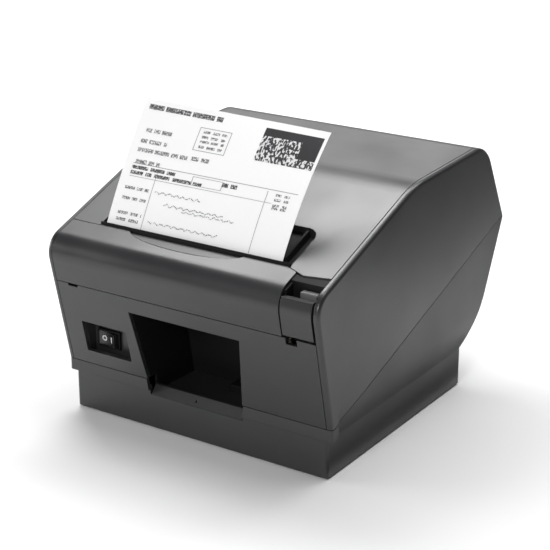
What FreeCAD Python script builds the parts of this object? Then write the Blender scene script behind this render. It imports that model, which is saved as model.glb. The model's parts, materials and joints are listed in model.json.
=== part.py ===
"""Wide-format clamshell receipt printer, in millimetres.

X runs to the right, Y to the back, Z up. The origin is under the middle of the case, on the table.
Each function builds one named piece, and the last block writes one STEP file per piece.
"""
import math
import os

import FreeCAD
import Part

V = FreeCAD.Vector

# ---------------------------------------------------------------- driving dimensions
BODY_W = 180.0
HALF_W = BODY_W / 2
WALL = 2.5
RIM = 3.2                # width of the side wall's top rim beside the covers
GAP = 0.4                # gap between neighbouring covers
EDGE_R = 2.0             # rounding along the long outer edges

# side outline: (y, z, corner radius)
BAND_Y = -91.2           # front of the band above the plinth
BAND_Z0 = 24.0
BAND_Z1 = 31.0
NOSE = (-108.05, 107.6, 13.0)
CREASE = (-6.4, 144.6, 60.0)
REAR_TOP = (80.0, 148.0, 22.0)
REAR_TIP = (106.97, 96.5, 4.0)
REAR_LOW = (82.6, 44.5, 40.0)
REAR_FOOT = (58.0, BAND_Z0, 0.0)

# plinth
PLINTH_HALF = 86.3
PLINTH_Y0 = -89.75
PLINTH_Y1 = 63.0
PLINTH_Z0 = 1.2
PLINTH_R = 2.0

# where the covers part
SEAM_Z_AT_0 = 61.5       # the slanted side seam is z = SEAM_Z_AT_0 + SEAM_SLOPE * y
SEAM_SLOPE = 0.345
NOSE_SEAM_Z = 83.4
COVER_SEAM_Y = -86.6
SLOT_Y0 = -84.5
SLOT_Y1 = -80.4
TONGUE_Y = -86.1         # where the nose cover's tongue ends, in front of the tear bar
TRAY_X0 = -67.0
TRAY_X1 = 60.0
TRAY_Y1 = -55.3
TRAY_DEPTH = 5.0
TRAY_CORNER_R = 8.0

# lid hinge
HINGE_Z_ON_FACE = 118.0
BARREL_R = 5.0
BARREL_HALF = 80.0
HINGE_PIN_R = 1.5

# front bay
BAY_TOP_Z = 73.0
BAY_TOP_HALF = 37.3
BAY_BOTTOM_Z = 22.0
BAY_BOTTOM_HALF = 31.5
BAY_BACK_Y = -50.0
BAY_BACK_TOP_Z = 57.0
BAY_WALL = 1.6
SILL_Z0 = 21.4

# switch recess, on the leaning front face
SWITCH_X = -58.0
SWITCH_Z = 49.75
RECESS_W = 32.0
RECESS_H = 20.0
RECESS_WALL = 1.2
RECESS_FLOOR_Z = 37.6
RECESS_ROOF_Z = 60.6
RECESS_BACK_Y = -85.4
ROCKER_X = -63.2
ROCKER_Z = 47.0
ROCKER_TILT = 10.0

# lever, its well and the feed button
LEVER_X0 = 66.4
LEVER_X1 = 85.4
LEVER_Z0 = NOSE_SEAM_Z + 1.3
LEVER_TOP_Z = 106.2
LEVER_PIVOT = (-98.6, 86.4)
LEVER_PIN_R = 1.2
LEVER_BARREL_R = 2.2
WELL_X0 = 65.9
WELL_X1 = HALF_W - RIM - 0.3
WELL_Y0 = -100.6
WELL_Y1 = -91.2
WELL_LEDGE_Y = -94.0     # the well's rear wall is a wide ledge behind this
WELL_FLOOR_Z = 92.0
WELL_WALL = 1.2
BUTTON_X0 = 74.0
BUTTON_X1 = 84.6
BUTTON_Y0 = -98.0
BUTTON_TOP_Z = 108.5

# paper path
PAPER_W = 118.0
PAPER_X = -6.0           # the paper runs off centre, in the tray
PAPER_T = 0.2
ROLL_Y = 18.0
ROLL_Z = 77.0
ROLL_R = 43.0
CORE_R = 9.0
CORE_WALL = 1.5
PLATEN_Y = -74.2
PLATEN_Z = 93.0
PLATEN_R = 7.5
SHAFT_R = 3.0
CUT_Z = 104.6

# gear train: every gear has the same module
MODULE = 0.8
PLATEN_TEETH = 24
IDLER_TEETH = 40
PINION_TEETH = 12
GEAR_X0 = 60.9
GEAR_T = 3.6
IDLER_ANGLE = -72.0      # direction from the platen to the idler
PINION_ANGLE = -15.0     # direction from the idler to the motor pinion

IDLER_POST_R = 2.0
MOTOR_SHAFT_R = 1.5
MOTOR_R = 13.5
MOTOR_X1 = 85.0
BRACKET_X = GEAR_X0 + GEAR_T + 1.4

# chassis
SHEET = 1.4
PLATE_RIGHT = 57.0       # inner face of the right side plate
PLATE_LEFT = -69.0       # inner face of the left side plate
STANDOFF_R = 1.6
BUSH_R = 4.6
LATCH_PIVOT = (-86.0, 74.6)
LATCH_R = 2.0

# boards and sockets
BOARD_Z = 10.0
BOARD_T = 1.6
SOCKET_Z0 = BOARD_Z + BOARD_T
SOCKET_HOLES = [
    (-66.0, -49.4, SOCKET_Z0, SOCKET_Z0 + 12.6),
    (-37.4, -22.6, SOCKET_Z0, SOCKET_Z0 + 12.0),
    (-8.0, 62.0, 5.6, 25.2),
]

# feet, screws
FOOT_R = 7.0
FOOT_X = 72.0
FOOT_Y = (-74.0, 48.0)
BOSS_R = 3.6
BOSS_TOP_Z = 22.0
SCREW_R = 1.5
SCREW_HEAD_R = 3.0
SCREW_HEAD_Z = PLINTH_Z0 + 1.8


# ---------------------------------------------------------------- geometry helpers
def front_y(z):
    """The front face's y at a height."""
    share = (z - BAND_Z1) / (NOSE[1] - BAND_Z1)
    return BAND_Y + share * (NOSE[0] - BAND_Y)


def slope_z(y):
    """The top slope's height at a y."""
    share = (y - NOSE[0]) / (CREASE[0] - NOSE[0])
    return NOSE[1] + share * (CREASE[1] - NOSE[1])


def seam_z(y):
    return SEAM_Z_AT_0 + SEAM_SLOPE * y


FACE_LEAN = math.degrees(math.atan2(BAND_Y - NOSE[0], NOSE[1] - BAND_Z1))
SLOPE_LEAN = math.degrees(math.atan2(CREASE[1] - NOSE[1], CREASE[0] - NOSE[0]))


def rounded_wire(points):
    """A closed wire in the YZ plane. Each point is (y, z) or (y, z, corner radius)."""
    count = len(points)
    corners = [V(0, p[0], p[1]) for p in points]
    starts, ends, mids = [], [], []
    for i in range(count):
        here = corners[i]
        to_last = (corners[i - 1] - here).normalize()
        to_next = (corners[(i + 1) % count] - here).normalize()
        radius = points[i][2] if len(points[i]) > 2 else 0.0
        if radius == 0.0:
            starts.append(here)
            ends.append(here)
            mids.append(None)
            continue
        half = to_last.getAngle(to_next) / 2
        reach = radius / math.tan(half)
        middle = (to_last + to_next).normalize()
        starts.append(here + to_last * reach)
        ends.append(here + to_next * reach)
        mids.append(here + middle * (radius / math.sin(half) - radius))
    edges = []
    for i in range(count):
        if mids[i] is not None:
            edges.append(Part.Arc(starts[i], mids[i], ends[i]).toShape())
        following = (i + 1) % count
        if (starts[following] - ends[i]).Length > 1e-6:
            edges.append(Part.makeLine(ends[i], starts[following]))
    return Part.Wire(edges)


def prism_x(points, x0, x1):
    """A solid between x0 and x1 with a YZ outline."""
    face = Part.Face(rounded_wire(points))
    face.translate(V(x0, 0, 0))
    return face.extrude(V(x1 - x0, 0, 0))


def polygon_prism(points, step):
    """A solid from a closed polygon of 3-D points, drawn out along step."""
    corners = [V(*p) for p in points]
    wire = Part.makePolygon(corners + corners[:1])
    return Part.Face(wire).extrude(V(*step))


def box(x0, x1, y0, y1, z0, z1):
    return Part.makeBox(x1 - x0, y1 - y0, z1 - z0, V(x0, y0, z0))


def cyl_x(y, z, radius, x0, x1):
    return Part.makeCylinder(radius, x1 - x0, V(x0, y, z), V(1, 0, 0))


def cyl_y(x, z, radius, y0, y1):
    return Part.makeCylinder(radius, y1 - y0, V(x, y0, z), V(0, 1, 0))


def cyl_z(x, y, radius, z0, z1):
    return Part.makeCylinder(radius, z1 - z0, V(x, y, z0), V(0, 0, 1))


def both_sides(shape):
    """The shape and its mirror image across the middle plane."""
    return [shape, shape.mirror(V(0, 0, 0), V(1, 0, 0))]


def fused(shapes):
    first = shapes[0]
    if len(shapes) == 1:
        return first
    return first.multiFuse(shapes[1:]).removeSplitter()


def group(shapes):
    return Part.makeCompound(shapes)


def rounded(shape, radius, wanted):
    """The shape with the edges that wanted(edge) picks rounded."""
    return shape.makeFillet(radius, [e for e in shape.Edges if wanted(e)])


def along(edge, axis):
    """True for a straight edge that runs along axis."""
    if not isinstance(edge.Curve, (Part.Line, Part.LineSegment)):
        return False
    run = edge.Vertexes[-1].Point - edge.Vertexes[0].Point
    return run.cross(axis).Length < 1e-4 * run.Length


def lean(shape, angle, y, z, x=0.0):
    """Tips a shape built about the origin by angle about X, then moves it to its place."""
    placed = shape.copy()
    placed.rotate(V(0, 0, 0), V(1, 0, 0), angle)
    placed.translate(V(x, y, z))
    return placed


def polar(y, z, radius, degrees):
    """The point at an angle from a centre: 0 degrees is to the back, 90 is up."""
    turn = math.radians(degrees)
    return y + radius * math.cos(turn), z + radius * math.sin(turn)


# ---------------------------------------------------------------- the case as one body
OUTLINE = [
    (BAND_Y, BAND_Z0),
    (BAND_Y, BAND_Z1),
    NOSE,
    CREASE,
    REAR_TOP,
    REAR_TIP,
    REAR_LOW,
    REAR_FOOT,
]
FLANK_TOP_Z = 45.0
FLANK_END_Z = 22.0
APRON_Y = -84.5          # in front of this, the band keeps its full width
TUB_HALF = PLINTH_HALF - WALL
FAR = 200.0


def offset_prism(inset, half):
    """The side outline moved inwards by inset, as a solid of the given half width."""
    wire = rounded_wire(OUTLINE)
    face = Part.Face(wire).makeOffset2D(-inset)
    face.translate(V(-half, 0, 0))
    return face.extrude(V(2 * half, 0, 0))


def flank_cutters():
    """Take the lower sides in from the full width to the plinth's, on a large arc."""
    drop = HALF_W - PLINTH_HALF
    run = FLANK_TOP_Z - FLANK_END_Z
    mid_z = (FLANK_TOP_Z + FLANK_END_Z) / 2
    radius = (run * run + drop * drop) / (2 * drop)
    mid_x = HALF_W - radius + math.sqrt(radius ** 2 - (FLANK_TOP_Z - mid_z) ** 2)
    arc = Part.Arc(
        V(HALF_W, APRON_Y, FLANK_TOP_Z),
        V(mid_x, APRON_Y, mid_z),
        V(PLINTH_HALF, APRON_Y, FLANK_END_Z),
    ).toShape()
    rest = Part.makePolygon([
        V(PLINTH_HALF, APRON_Y, FLANK_END_Z),
        V(PLINTH_HALF, APRON_Y, 0),
        V(HALF_W + 5, APRON_Y, 0),
        V(HALF_W + 5, APRON_Y, FLANK_TOP_Z),
        V(HALF_W, APRON_Y, FLANK_TOP_Z),
    ])
    face = Part.Face(Part.Wire([arc] + rest.Edges))
    return both_sides(face.extrude(V(0, FAR, 0)))


def outer_body():
    """The whole outside of the case, as one solid."""
    body = offset_prism(0.0, HALF_W)

    def long_edge(edge):
        span = edge.BoundBox
        return span.XLength < 1e-3 and span.ZMax > BAND_Z0 + 0.1

    body = rounded(body, EDGE_R, long_edge)
    body = body.cut(group(flank_cutters()))
    plinth = box(-PLINTH_HALF, PLINTH_HALF, PLINTH_Y0, PLINTH_Y1, PLINTH_Z0, BAND_Z0 + 4)
    plinth = rounded(plinth, PLINTH_R, lambda e: along(e, V(0, 0, 1)))
    return body.fuse(plinth).removeSplitter()


def inner_body(gap=0.0):
    """The space inside the case walls, kept gap away from them."""
    wall = WALL + gap
    hollow = offset_prism(wall, HALF_W - wall)
    low = offset_prism(wall, TUB_HALF - gap)
    tall = hollow.common(box(-FAR, FAR, -FAR, FAR, FLANK_TOP_Z + 2, FAR))
    tub = box(
        -TUB_HALF + gap, TUB_HALF - gap,
        PLINTH_Y0 + wall, PLINTH_Y1 - wall,
        PLINTH_Z0 + wall, BAND_Z0 + 4,
    )
    return fused([tall, low, tub])


def hinge_centre():
    """The lid's hinge axis: one barrel radius inside the rear upper face."""
    share = (HINGE_Z_ON_FACE - REAR_TIP[1]) / (REAR_TOP[1] - REAR_TIP[1])
    y = REAR_TIP[0] + share * (REAR_TOP[0] - REAR_TIP[0])
    run_y = REAR_TOP[0] - REAR_TIP[0]
    run_z = REAR_TOP[1] - REAR_TIP[1]
    length = math.hypot(run_y, run_z)
    return y - BARREL_R * run_z / length, HINGE_Z_ON_FACE + BARREL_R * run_y / length


HINGE_Y, HINGE_Z = hinge_centre()
REAR_LEAN = math.degrees(math.atan2(REAR_TIP[0] - REAR_TOP[0], REAR_TOP[1] - REAR_TIP[1]))
COVER_HALF = HALF_W - RIM
SEAM_BEND_Y = (BAND_Z1 - SEAM_Z_AT_0) / SEAM_SLOPE
BELOW_SEAM = [
    (-FAR, 0),
    (-FAR, BAND_Z1),
    (SEAM_BEND_Y, BAND_Z1),
    (FAR, seam_z(FAR)),
    (FAR, 0),
]
ABOVE_SEAM = [
    (-FAR, FAR),
    (-FAR, BAND_Z1 + GAP),
    (SEAM_BEND_Y, BAND_Z1 + GAP),
    (FAR, seam_z(FAR) + GAP),
    (FAR, FAR),
]


def lid_region(half):
    """Everything that belongs to the lid: behind the cover seam, in front of the hinge seat."""
    front = COVER_SEAM_Y + GAP / 2
    beyond = polar(HINGE_Y, HINGE_Z, 2 * BARREL_R + 15, REAR_LEAN)
    region = prism_x(
        [(front, 90.0), (front, FAR), (FAR, FAR), beyond, (HINGE_Y, HINGE_Z), (HINGE_Y - 12, 90.0)],
        -half, half,
    )
    return region.fuse(lid_corner([(TRAY_X1, front + 0.1), (CORNER_X, CORNER_Y),
                                   (half, CORNER_END_Y), (half, front + 0.1)]))


CORNER_X = 70.6
CORNER_Y = -90.0
CORNER_END_Y = -88.0
CORNER_Z0 = 111.0


def lid_corner(outline):
    """The lid's right front corner reaches further forward, down to the lever's well."""
    return polygon_prism([(x, y, CORNER_Z0) for x, y in outline], (0, 0, 40))


# ---------------------------------------------------------------- casings
def lower_case(outer, inner):
    """The tub: plinth, band, lower side walls up to the slanted seam."""
    shell = outer.cut(inner).common(prism_x(BELOW_SEAM, -FAR, FAR))
    low_half = bay_half(SILL_Z0) + 0.3
    high_half = bay_half(BAND_Z1 + 2) + 0.8
    ahead_y = PLINTH_Y0 - 5
    bay = polygon_prism(
        [
            (-low_half, ahead_y, SILL_Z0),
            (low_half, ahead_y, SILL_Z0),
            (high_half, ahead_y, BAND_Z1 + 2),
            (-high_half, ahead_y, BAND_Z1 + 2),
        ],
        (0, 12, 0),
    )
    sockets = [box(x0, x1, PLINTH_Y1 - WALL - 1, PLINTH_Y1 + 8, z0, z1)
               for x0, x1, z0, z1 in SOCKET_HOLES]
    feet = [cyl_z(x, y, FOOT_R + 0.15, 0, PLINTH_Z0 + 0.8) for x, y in foot_places()]
    bosses = [cyl_z(x, y, BOSS_R, PLINTH_Z0 + 0.5, BOSS_TOP_Z) for x, y in screw_places()]
    shell = fused([shell] + bosses)
    bores = [cyl_z(x, y, SCREW_R + 0.1, PLINTH_Z0 - 1, BOSS_TOP_Z + 1) for x, y in screw_places()]
    sinks = [cyl_z(x, y, SCREW_HEAD_R + 0.3, 0, SCREW_HEAD_Z) for x, y in screw_places()]
    return shell.cut(group([bay] + sockets + feet + bores + sinks))


def upper_case(outer, inner):
    """Side walls with their rims, and the rear wall below the lid's hinge."""
    shell = outer.cut(inner).common(prism_x(ABOVE_SEAM, -FAR, FAR))
    middle = prism_x(
        [(-FAR, 0), (-FAR, FAR), (REAR_TOP[0] + 40, FAR), (HINGE_Y, HINGE_Z), (HINGE_Y - 12, 0)],
        -COVER_HALF, COVER_HALF,
    )
    shell = shell.cut(middle)
    seat = lean(
        box(-COVER_HALF, COVER_HALF, -BARREL_R - 3, BARREL_R + 6, -BARREL_R - 0.8, BARREL_R + 30),
        REAR_LEAN, HINGE_Y, HINGE_Z,
    )
    shell = shell.cut(seat)
    ears = []
    for side in (-1, 1):
        x0, x1 = sorted((side * (BARREL_HALF + GAP), side * (HALF_W - WALL + 0.4)))
        ear = prism_x(
            [(HINGE_Y - 4.5, HINGE_Z - 14), (HINGE_Y - 4.5, HINGE_Z + 4.5, 4.4),
             (HINGE_Y + 4.5, HINGE_Z + 4.5, 4.4), (HINGE_Y + 4.5, HINGE_Z - 14)],
            x0, x1,
        )
        ears.append(ear)
    shell = fused([shell] + ears)
    pin_hole = cyl_x(HINGE_Y, HINGE_Z, HINGE_PIN_R, -HALF_W + 1.2, HALF_W - 1.2)
    return shell.cut(pin_hole)


def front_panel(outer, inner):
    """The leaning front plate with the bay, switch and lever openings."""
    slab = outer.cut(inner).common(prism_x(
        [(-FAR, BAND_Z1 + GAP), (-FAR, NOSE_SEAM_Z - GAP / 2),
         (front_y(NOSE_SEAM_Z) + WALL + 0.1, NOSE_SEAM_Z - GAP / 2),
         (front_y(BAND_Z1) + WALL + 0.1, BAND_Z1 + GAP)],
        -COVER_HALF + GAP, COVER_HALF - GAP,
    ))
    bay = bay_prism(0.0, 0.0)
    recess = lean(box(-RECESS_W / 2, RECESS_W / 2, -20, 30, -RECESS_H / 2, RECESS_H / 2),
                  FACE_LEAN, front_y(SWITCH_Z), SWITCH_Z, SWITCH_X)
    recess = rounded(recess, 0.5, lambda e: e.Length > 40)
    notch = box(67.7, 74.7, -120, -80, 79.4, FAR)
    nose_notch = box(-78.4, -71.6, -120, -99.5, NOSE_SEAM_Z - 1.6, FAR)
    ribs = [box(x - 0.8, x + 0.8, -100, -85, 34, 81) for x in (-81, 48, 61)]
    ribs = group(ribs).common(inner).cut(inner_body(3.0))
    return fused([slab, ribs]).cut(group([bay, recess, notch, nose_notch]))


def front_cover(outer, inner):
    """The nose cover over the cutter, with a tongue that reaches back to the paper slot."""
    shell = outer.cut(inner)
    seam = COVER_SEAM_Y - GAP / 2
    seam_top_z = NOSE_SEAM_Z + GAP / 2
    region = prism_x([(-FAR, seam_top_z), (-FAR, FAR), (seam, FAR), (seam, seam_top_z)],
                     -COVER_HALF + GAP, COVER_HALF - GAP)
    tongue = box(TRAY_X0 + GAP, TRAY_X1 - GAP, seam - 1, TONGUE_Y, 100, FAR)
    cover = shell.common(fused([region, tongue]))
    well = box(WELL_X0 - GAP, FAR, -FAR, FAR, 0, FAR)
    ribs = [box(x - 0.7, x + 0.7, -106, -88, 96, 115) for x in (-60, -30, 0, 30, 58)]
    ribs = group(ribs).common(inner).cut(inner_body(2.0))
    lid_side = lid_corner([(TRAY_X1 - 1.1, seam + 0.4), (CORNER_X - 0.2, CORNER_Y - GAP),
                           (HALF_W, CORNER_Y - GAP), (HALF_W, seam + 0.4)])
    return fused([cover, ribs]).cut(group([well, finger_scoop(), lid_side]))


SCOOP_X = PAPER_X - 1.5
SCOOP_HALF_W = 38.2
SCOOP_REACH = 8.5
SCOOP_DEPTH = 1.0
SCOOP_TILT = 4.5
SCOOP_GROOVE = 0.6


def scoop_prism(half_w, reach, tilt):
    """An ellipse prism standing on a floor under the slope, which tilts towards the slot."""
    rim = Part.Wire([Part.Ellipse(V(0, 0, 0), half_w, reach).toShape()])
    pocket = Part.Face(rim).extrude(V(0, 0, 10))
    y = TONGUE_Y + 1.0
    return lean(pocket, SLOPE_LEAN - tilt, y, slope_z(y) - SCOOP_DEPTH, SCOOP_X)


def finger_scoop():
    """A half-ellipse dish in front of the paper slot, with a fine groove round its edge."""
    dish = scoop_prism(SCOOP_HALF_W, SCOOP_REACH, SCOOP_TILT)
    groove = scoop_prism(SCOOP_HALF_W, SCOOP_REACH, 0.0).cut(
        scoop_prism(SCOOP_HALF_W - SCOOP_GROOVE, SCOOP_REACH - SCOOP_GROOVE, 0.0))
    return dish.fuse(groove)


def tear_bar():
    """The black bar the slip is torn against: its edge stands a little above the slope."""
    front, back = TONGUE_Y + 0.3, SLOT_Y0 + 0.1
    low, high = slope_z(front) - 3.2, slope_z(front) + 1.7
    return prism_x(
        [(front, low), (front, high), (front + 0.35, high), (back, high - 1.6), (back, low)],
        TRAY_X0 + GAP, TRAY_X1 - GAP,
    )


def lid_tray_prism(grow, floor, y0):
    """The sunk exit tray's space: parallel to the slope, floor below the surface."""
    top = 12.0
    y1 = TRAY_Y1 + grow
    space = prism_x(
        [(y0, slope_z(y0) - floor), (y0, slope_z(y0) + top), (y1, slope_z(y1) + top),
         (y1, slope_z(y1) - floor)],
        TRAY_X0 - grow, TRAY_X1 + grow,
    )
    return rounded(space, TRAY_CORNER_R,
                   lambda e: along(e, V(0, 0, 1)) and e.BoundBox.YMin > y1 - 0.1)


def printer_cover(outer, inner):
    """The lid: top slope, crease, flat top and rear corner, down to its hinge barrel."""
    region = lid_region(COVER_HALF - GAP)
    skin = outer.cut(inner).common(region)
    skirt_zone = region.common(inner)
    skirts = both_sides(box(COVER_HALF - GAP - 2.0, COVER_HALF - GAP, -FAR, 74, 80, FAR))
    core = inner_body(6.0)
    skirts = group(skirts).common(skirt_zone).cut(core)
    front_lip = box(-COVER_HALF + GAP, COVER_HALF - GAP, COVER_SEAM_Y, COVER_SEAM_Y + 1.8, 100, FAR)
    front_lip = front_lip.common(skirt_zone).cut(core)
    barrel = cyl_x(HINGE_Y, HINGE_Z, BARREL_R, -BARREL_HALF, BARREL_HALF)
    tray_shell = lid_tray_prism(1.6, TRAY_DEPTH + 1.6, SLOT_Y1).common(
        outer).common(region)
    lid = fused([skin, skirts, front_lip, barrel, tray_shell])
    tray = lid_tray_prism(0.0, TRAY_DEPTH, COVER_SEAM_Y - 3)
    slot = box(TRAY_X0, TRAY_X1, COVER_SEAM_Y - 2, SLOT_Y1, 90, FAR)
    pin_hole = cyl_x(HINGE_Y, HINGE_Z, HINGE_PIN_R + 0.05, -BARREL_HALF - 1, BARREL_HALF + 1)
    end_cuts = both_sides(box(BARREL_HALF, HALF_W, 72, FAR, 100, HINGE_Z + 7.5))
    swing = fused([
        cyl_x(HINGE_Y, HINGE_Z, HINGE_Y - COVER_SEAM_Y - GAP / 2, -HALF_W, HALF_W),
        box(TRAY_X1 - 1, HALF_W, CORNER_Y - 1, 0, CORNER_Z0, FAR),
    ])
    return lid.common(swing).cut(group([tray, slot, pin_hole] + end_cuts))


def exit_guide():
    """The insert in the exit tray: a ribbed floor with a raised ridge along each side."""
    y0, y1 = SLOT_Y1 + 0.3, TRAY_Y1 - 0.6
    x0, x1 = TRAY_X0 + 6.0, TRAY_X1 - 6.8
    ridge_w = 1.4
    low = TRAY_DEPTH - 0.05
    plate = prism_x([(y0, slope_z(y0) - low), (y0, slope_z(y0) - low + 1.2),
                     (y1, slope_z(y1) - low + 1.2), (y1, slope_z(y1) - low)], x0, x1)
    ridges = []
    for edge in (x0, x1 - ridge_w):
        ridges.append(prism_x([(y0, slope_z(y0) - low), (y0 + 0.6, slope_z(y0) - 0.6, 0.5),
                               (y1 - 1.0, slope_z(y1) - 0.6, 0.5), (y1, slope_z(y1) - low)],
                              edge, edge + ridge_w))
    ribs = []
    for i in range(RIB_COUNT):
        x = x0 + 12 + i * (x1 - x0 - 24) / (RIB_COUNT - 1)
        ribs.append(prism_x([(y0 + 1, slope_z(y0 + 1) - low), (y0 + 2, slope_z(y0 + 2) - 2.6),
                             (y1 - 6, slope_z(y1 - 6) - 2.6), (y1 - 1, slope_z(y1 - 1) - low)],
                            x - 0.5, x + 0.5))
    return fused([plate] + ridges + ribs)


RIB_COUNT = 9


# ---------------------------------------------------------------- front bay
def bay_half(z):
    """The bay opening's half width at a height on the front face."""
    share = (z - BAY_BOTTOM_Z) / (BAY_TOP_Z - BAY_BOTTOM_Z)
    return BAY_BOTTOM_HALF + share * (BAY_TOP_HALF - BAY_BOTTOM_HALF)


def bay_prism(grow, back_grow):
    """The bay's space, tapering slightly to the back, with a ceiling that falls towards it."""
    def section(y, top, shrink):
        low = BAY_BOTTOM_Z - grow
        high = top + grow
        wide = BAY_TOP_HALF + grow - shrink
        narrow = BAY_BOTTOM_HALF + grow - shrink
        return Part.makePolygon([V(-narrow, y, low), V(narrow, y, low), V(wide, y, high),
                                 V(-wide, y, high), V(-narrow, y, low)])
    ahead_y = -112.0
    front = section(ahead_y, BAY_TOP_Z + 2.0, 0.0)
    middle = section(-94.0, BAY_TOP_Z, 0.0)
    rear = section(BAY_BACK_Y + back_grow, BAY_BACK_TOP_Z, 1.5)
    fore = Part.makeLoft([front, middle], True, True)
    aft = Part.makeLoft([middle, rear], True, True)
    return fused([fore, aft])


def bay_walls():
    """The bay's five walls, behind the front panel."""
    walls = bay_prism(BAY_WALL, BAY_WALL).cut(bay_prism(0.0, 0.0))
    return walls.common(inner_body(0.15)).cut(
        box(-FAR, FAR, -FAR, PLINTH_Y0 + 6.4, 0, BAND_Z1 + 0.5))


def below_bay():
    return box(-FAR, FAR, -FAR, FAR, 0, BAY_BOTTOM_Z)


def front_bay_liner():
    """The bay's side walls, back wall and sloping ceiling."""
    return bay_walls().cut(below_bay())


def bay_floor():
    """The bay's floor plate."""
    return bay_walls().common(below_bay())


def bay_block():
    """A low block on the bay's floor, near its back right corner."""
    block = box(4, 27, -63, BAY_BACK_Y - 0.3, BAY_BOTTOM_Z, BAY_BOTTOM_Z + 4.5)
    return rounded(block, 0.8, lambda e: e.BoundBox.ZMin > BAY_BOTTOM_Z + 4)


def bay_sill():
    """The sloped strip that closes the bottom of the bay's mouth."""
    half = bay_half(SILL_Z0) - 0.3
    sill = prism_x([(PLINTH_Y0 + 0.1, SILL_Z0 + 0.1), (PLINTH_Y0 + 4.2, SILL_Z0 + 5.2, 0.5),
                    (PLINTH_Y0 + 6.0, SILL_Z0 + 5.2), (PLINTH_Y0 + 6.0, SILL_Z0 + 0.1)],
                   -half, half)
    dot = cyl_y(-1.0, SILL_Z0 + 2.4, 0.7, PLINTH_Y0 - 2, PLINTH_Y0 + 3)
    return sill.cut(dot)


# ---------------------------------------------------------------- power switch
BEZEL_W = 15.8
BEZEL_H = 10.8
BEZEL_T = 1.8
SWITCH_BODY_W = 14.8
SWITCH_BODY_H = 10.2
SWITCH_HOLE_W = 14.3
SWITCH_HOLE_H = 8.9
ROCKER_H = 8.3
ROCKER_PIVOT_Y = RECESS_BACK_Y + 1.5
TRUNNION_R = 1.0
FACE_SAG = 1.2


def switch_recess():
    """The liner behind the leaning front plate, with an upright back plate for the switch."""
    x0, x1 = SWITCH_X - RECESS_W / 2, SWITCH_X + RECESS_W / 2
    back = RECESS_BACK_Y + RECESS_WALL
    behind_plate = WALL / math.cos(math.radians(FACE_LEAN)) + 0.15
    z0, z1 = RECESS_FLOOR_Z - RECESS_WALL, RECESS_ROOF_Z + RECESS_WALL
    outside = prism_x([(front_y(z0) + behind_plate, z0), (front_y(z1) + behind_plate, z1),
                       (back, z1), (back, z0)], x0 - RECESS_WALL, x1 + RECESS_WALL)
    space = box(x0, x1, -FAR, RECESS_BACK_Y, RECESS_FLOOR_Z, RECESS_ROOF_Z)
    window = box(ROCKER_X - SWITCH_BODY_W / 2 - 0.1, ROCKER_X + SWITCH_BODY_W / 2 + 0.1, -FAR, 0,
                 ROCKER_Z - SWITCH_BODY_H / 2 - 0.1, ROCKER_Z + SWITCH_BODY_H / 2 + 0.1)
    return outside.cut(fused([space, window]))


def switch_housing():
    """The rocker switch's bezel and body, with four contact tabs at its back."""
    bezel = box(-BEZEL_W / 2, BEZEL_W / 2, RECESS_BACK_Y - BEZEL_T, RECESS_BACK_Y - 0.02,
                -BEZEL_H / 2, BEZEL_H / 2)
    bezel = rounded(bezel, 0.5, lambda e: e.BoundBox.YMax < RECESS_BACK_Y - BEZEL_T + 0.1)
    body = box(-SWITCH_BODY_W / 2, SWITCH_BODY_W / 2, RECESS_BACK_Y - 0.5, RECESS_BACK_Y + 10,
               -SWITCH_BODY_H / 2, SWITCH_BODY_H / 2)
    hollow = box(-SWITCH_HOLE_W / 2, SWITCH_HOLE_W / 2, -FAR, RECESS_BACK_Y + 7,
                 -SWITCH_HOLE_H / 2, SWITCH_HOLE_H / 2)
    bearing = cyl_z(0, ROCKER_PIVOT_Y, TRUNNION_R + 0.05, -SWITCH_BODY_H / 2 + 0.15,
                    SWITCH_BODY_H / 2 - 0.15)
    tabs = [box(x - 2.4, x + 2.4, RECESS_BACK_Y + 9.5, RECESS_BACK_Y + 14, z - 0.4, z + 0.4)
            for x in (-4, 4) for z in (-3, 3)]
    made = fused([bezel, body] + tabs).cut(fused([hollow, bearing]))
    made.translate(V(ROCKER_X, 0, ROCKER_Z))
    return made


def in_rocker_place(shape):
    """Turns a piece of the rocker to its rest tilt, with its right end standing out."""
    shape.rotate(V(0, ROCKER_PIVOT_Y, 0), V(0, 0, 1), -ROCKER_TILT)
    shape.translate(V(ROCKER_X, 0, ROCKER_Z))
    return shape


def rocker_mark_tools(y0, y1):
    """A ring for off at the left and a bar for on at the right, from y0 to y1 off the pivot."""
    y0 += ROCKER_PIVOT_Y
    y1 += ROCKER_PIVOT_Y
    ring = cyl_y(-2.6, 0, 1.8, y0, y1).cut(cyl_y(-2.6, 0, 0.8, y0, y1))
    bar = box(2.6, 3.8, y0, y1, -1.8, 1.8)
    return group([ring, bar])


def rocker_block():
    """The rocker before its marks are let in: a hollowed face, a body and two trunnions."""
    front, back = -4.5, 1.5
    tip, waist, heel = 6.3, 6.7, 5.2
    rim = [V(x, ROCKER_PIVOT_Y + y, -ROCKER_H / 2) for x, y in (
        (-tip, front), (0, front + FACE_SAG), (tip, front),
        (waist, -1.5), (heel, back), (-heel, back), (-waist, -1.5), (-tip, front))]
    arc = Part.Arc(rim[0], rim[1], rim[2]).toShape()
    sides = [Part.makeLine(rim[i], rim[i + 1]) for i in range(2, 7)]
    block = Part.Face(Part.Wire([arc] + sides)).extrude(V(0, 0, ROCKER_H))
    trunnions = cyl_z(0, ROCKER_PIVOT_Y, TRUNNION_R, -ROCKER_H / 2 - 0.7, ROCKER_H / 2 + 0.7)
    return fused([block, trunnions])


def power_rocker():
    """The rocker, with the sinks of its two marks."""
    return in_rocker_place(rocker_block().cut(rocker_mark_tools(-6.0, -2.8)))


def rocker_marks():
    """The light ring and bar let into the rocker's face."""
    return in_rocker_place(rocker_block().common(rocker_mark_tools(-6.0, -2.82)))


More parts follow.
